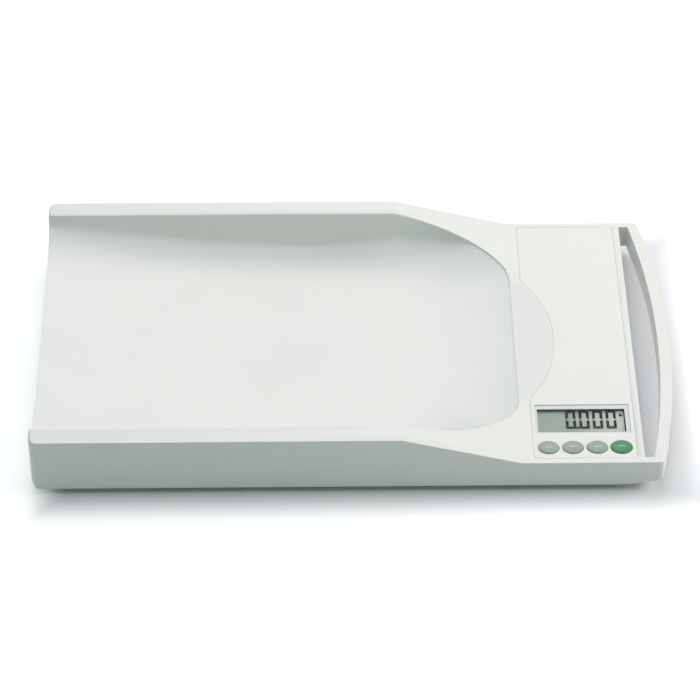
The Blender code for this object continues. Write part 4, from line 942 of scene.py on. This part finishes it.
class SCALE_OT_stage(Step, bpy.types.Operator):
    """Set the camera, the soft boxes, the dome and the pale floor"""

    bl_idname = "baby_scale.stage"
    bl_label = "Stage"

    eye, lens, sensor, sight = (-0.0295, -1.9081, 1.8271), 153.4, 36.0, 50.0
    pitch, yaw, roll = math.radians(43.442), math.radians(0.741), math.radians(0.086)
    floor_half = 6.0
    floor_lit, floor_seen = (0.8, 0.8, 0.8), (0.84, 0.86, 0.9)
    # Each soft box: its place, what it points at, its size and its colour.
    boxes = {
        "overhead": ((-0.1, 0.2, 2.2), (0.0, 0.0, 0.0), (2.6, 2.0), (1.0, 0.867, 0.996)),
        "side": ((2.0, 0.1, 1.2), (0.1, 0.0, 0.0), (1.2, 1.6), (1.0, 0.887, 0.867)),
        "rear": ((0.0, 2.0, 1.4), (0.0, 0.0, 0.0), (1.6, 1.2), (1.0, 0.855, 0.993)),
        "upper_rear": ((0.0, 1.5, 1.9), (0.0, 0.0, 0.0), (2.0, 0.9), (1.0, 0.958, 0.915)),
    }

    def build(self):
        self.camera()
        for label, settings in self.boxes.items():
            self.lamp(label + "_box", getattr(lights(), label), *settings)
        self.world()
        bpy.context.scene.view_settings.view_transform = "Standard"
        return [self.floor()]

    def camera(self):
        """The photograph's view, as fitted to the object's straight edges."""
        pitch, yaw, roll = self.pitch, self.yaw, self.roll
        ahead = Vector((math.sin(yaw) * math.cos(pitch), math.cos(yaw) * math.cos(pitch), -math.sin(pitch)))
        level = Vector((math.cos(yaw), -math.sin(yaw), 0.0))
        above = level.cross(ahead)
        right = math.cos(roll) * level + math.sin(roll) * above
        up = math.cos(roll) * above - math.sin(roll) * level
        data = bpy.data.cameras.new("photo_camera")
        data.lens, data.sensor_width, data.clip_end = self.lens, self.sensor, self.sight
        camera = put("photo_camera", data)
        turn = Matrix((right, up, -ahead)).transposed().to_4x4()
        camera.matrix_world = Matrix.Translation(self.eye) @ turn
        bpy.context.scene.camera = camera

    def lamp(self, name, power, spot, target, size, colour):
        data = bpy.data.lights.new(name, "AREA")
        data.shape = "RECTANGLE"
        data.size, data.size_y = size
        data.energy, data.color = power, colour
        lamp = put(name, data)
        lamp.location = spot
        lamp.rotation_euler = (Vector(target) - Vector(spot)).to_track_quat("-Z", "Y").to_euler()

    def seen(self, tree):
        """1 where a ray comes from the camera, a gloss or a clear body."""
        path = wire(tree, "LightPath")
        total = path.outputs["Is Camera Ray"]
        for label in ("Is Glossy Ray", "Is Transmission Ray"):
            total = wire(tree, "Math", {0: total, 1: path.outputs[label]}, operation="ADD", use_clamp=True).outputs[0]
        return total

    def world(self):
        world = bpy.data.worlds.new("studio")
        world.use_nodes = True
        tree = world.node_tree
        dome = tree.nodes["Background"]
        dome.inputs["Color"].default_value = (*lights().dome, 1.0)
        white = wire(tree, "Background", {"Color": WHITE})
        mix = wire(tree, "MixShader", {0: self.seen(tree), 1: dome.outputs[0], 2: white.outputs[0]})
        tree.links.new(mix.outputs[0], tree.nodes["World Output"].inputs["Surface"])
        bpy.context.scene.world = world

    def away(self, paper):
        """The floor's own light, which paints the object's shadow: none under the object, full at a distance from its
        sides.
        """
        low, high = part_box("upper_shell")
        place = paper.node("SeparateXYZ", {0: paper.place})
        gap = None
        # Painted shadow: the glow fades to nothing at the object's sides, and starts inside the foot end.
        for axis, edge, way in ((0, low.x + LIT_SIDE_INSET, -1.0), (0, high.x, 1.0), (1, low.y, -1.0),
                                (1, high.y, 1.0)):
            inputs = {0: place.outputs[axis], 1: way, 2: -way * edge}
            past = paper.node("Math", inputs, operation="MULTIPLY_ADD", use_clamp=True).outputs[0]
            gap = paper.node("Math", {0: gap, 1: past}, operation="MAXIMUM").outputs[0] if gap else past
        inputs = {"Value": gap, "From Max": lights().reach, "To Max": lights().glow}
        return paper.node("MapRange", inputs, interpolation_type="SMOOTHSTEP").outputs[0]

    def floor(self):
        """A pale floor that the camera sees as white, apart from the object's shadow, which the lamps cast and the
        fading glow paints.
        """
        bm = bmesh.new()
        bmesh.ops.create_grid(bm, x_segments=1, y_segments=1, size=self.floor_half)
        mesh = bpy.data.meshes.new("studio_floor")
        bm.to_mesh(mesh)
        bm.free()
        floor = put("studio_floor", mesh)
        paper = Finish("floor_paper", self.floor_lit, 1.0, Specular_IOR_Level=0.0, Emission_Color=WHITE)
        seen = self.seen(paper.tree)
        paper.feed("Base Color", paper.mix(seen, self.floor_lit, self.floor_seen))
        glow = paper.node("Math", {0: seen, 1: self.away(paper)}, operation="MULTIPLY")
        paper.feed("Emission Strength", glow.outputs[0])
        side, clear = paper.node("NewGeometry"), paper.node("BsdfTransparent")
        inputs = {0: side.outputs["Backfacing"], 1: paper.shader.outputs[0], 2: clear.outputs[0]}
        mix = paper.node("MixShader", inputs)
        paper.tree.links.new(mix.outputs[0], paper.tree.nodes["Material Output"].inputs["Surface"])
        mesh.materials.append(paper.material)
        return floor


STEPS = (SCALE_OT_shell, SCALE_OT_display, SCALE_OT_keys, SCALE_OT_electronics, SCALE_OT_feet, SCALE_OT_battery_bay,
         SCALE_OT_screws, SCALE_OT_stage)


class SCALE_PT_steps(bpy.types.Panel):
    """Lists the steps that dress the scale"""

    bl_idname = "SCALE_PT_steps"
    bl_label = "Baby Weighing Scale"
    bl_space_type = "VIEW_3D"
    bl_region_type = "UI"
    bl_category = "Scale"

    def draw(self, context):
        for step in STEPS:
            self.layout.operator(step.bl_idname)
        for name in GROUPS:
            group, box = getattr(context.scene, name), self.layout.box()
            for label in group.bl_rna.properties.keys():
                if label not in ("rna_type", "name"):
                    box.prop(group, label)


GROUPS = {"scale_colours": ScaleColours, "scale_sizes": ScaleSizes, "scale_lights": ScaleLights}


def register():
    for kind in (*GROUPS.values(), *STEPS, SCALE_PT_steps):
        bpy.utils.register_class(kind)
    for label, kind in GROUPS.items():
        setattr(bpy.types.Scene, label, PointerProperty(type=kind))


def unregister():
    for label in GROUPS:
        delattr(bpy.types.Scene, label)
    for kind in reversed((*GROUPS.values(), *STEPS, SCALE_PT_steps)):
        bpy.utils.unregister_class(kind)


def main():
    register()
    for step in STEPS:
        group, action = step.bl_idname.split(".")
        getattr(getattr(bpy.ops, group), action)()


if __name__ == "__main__":
    main()
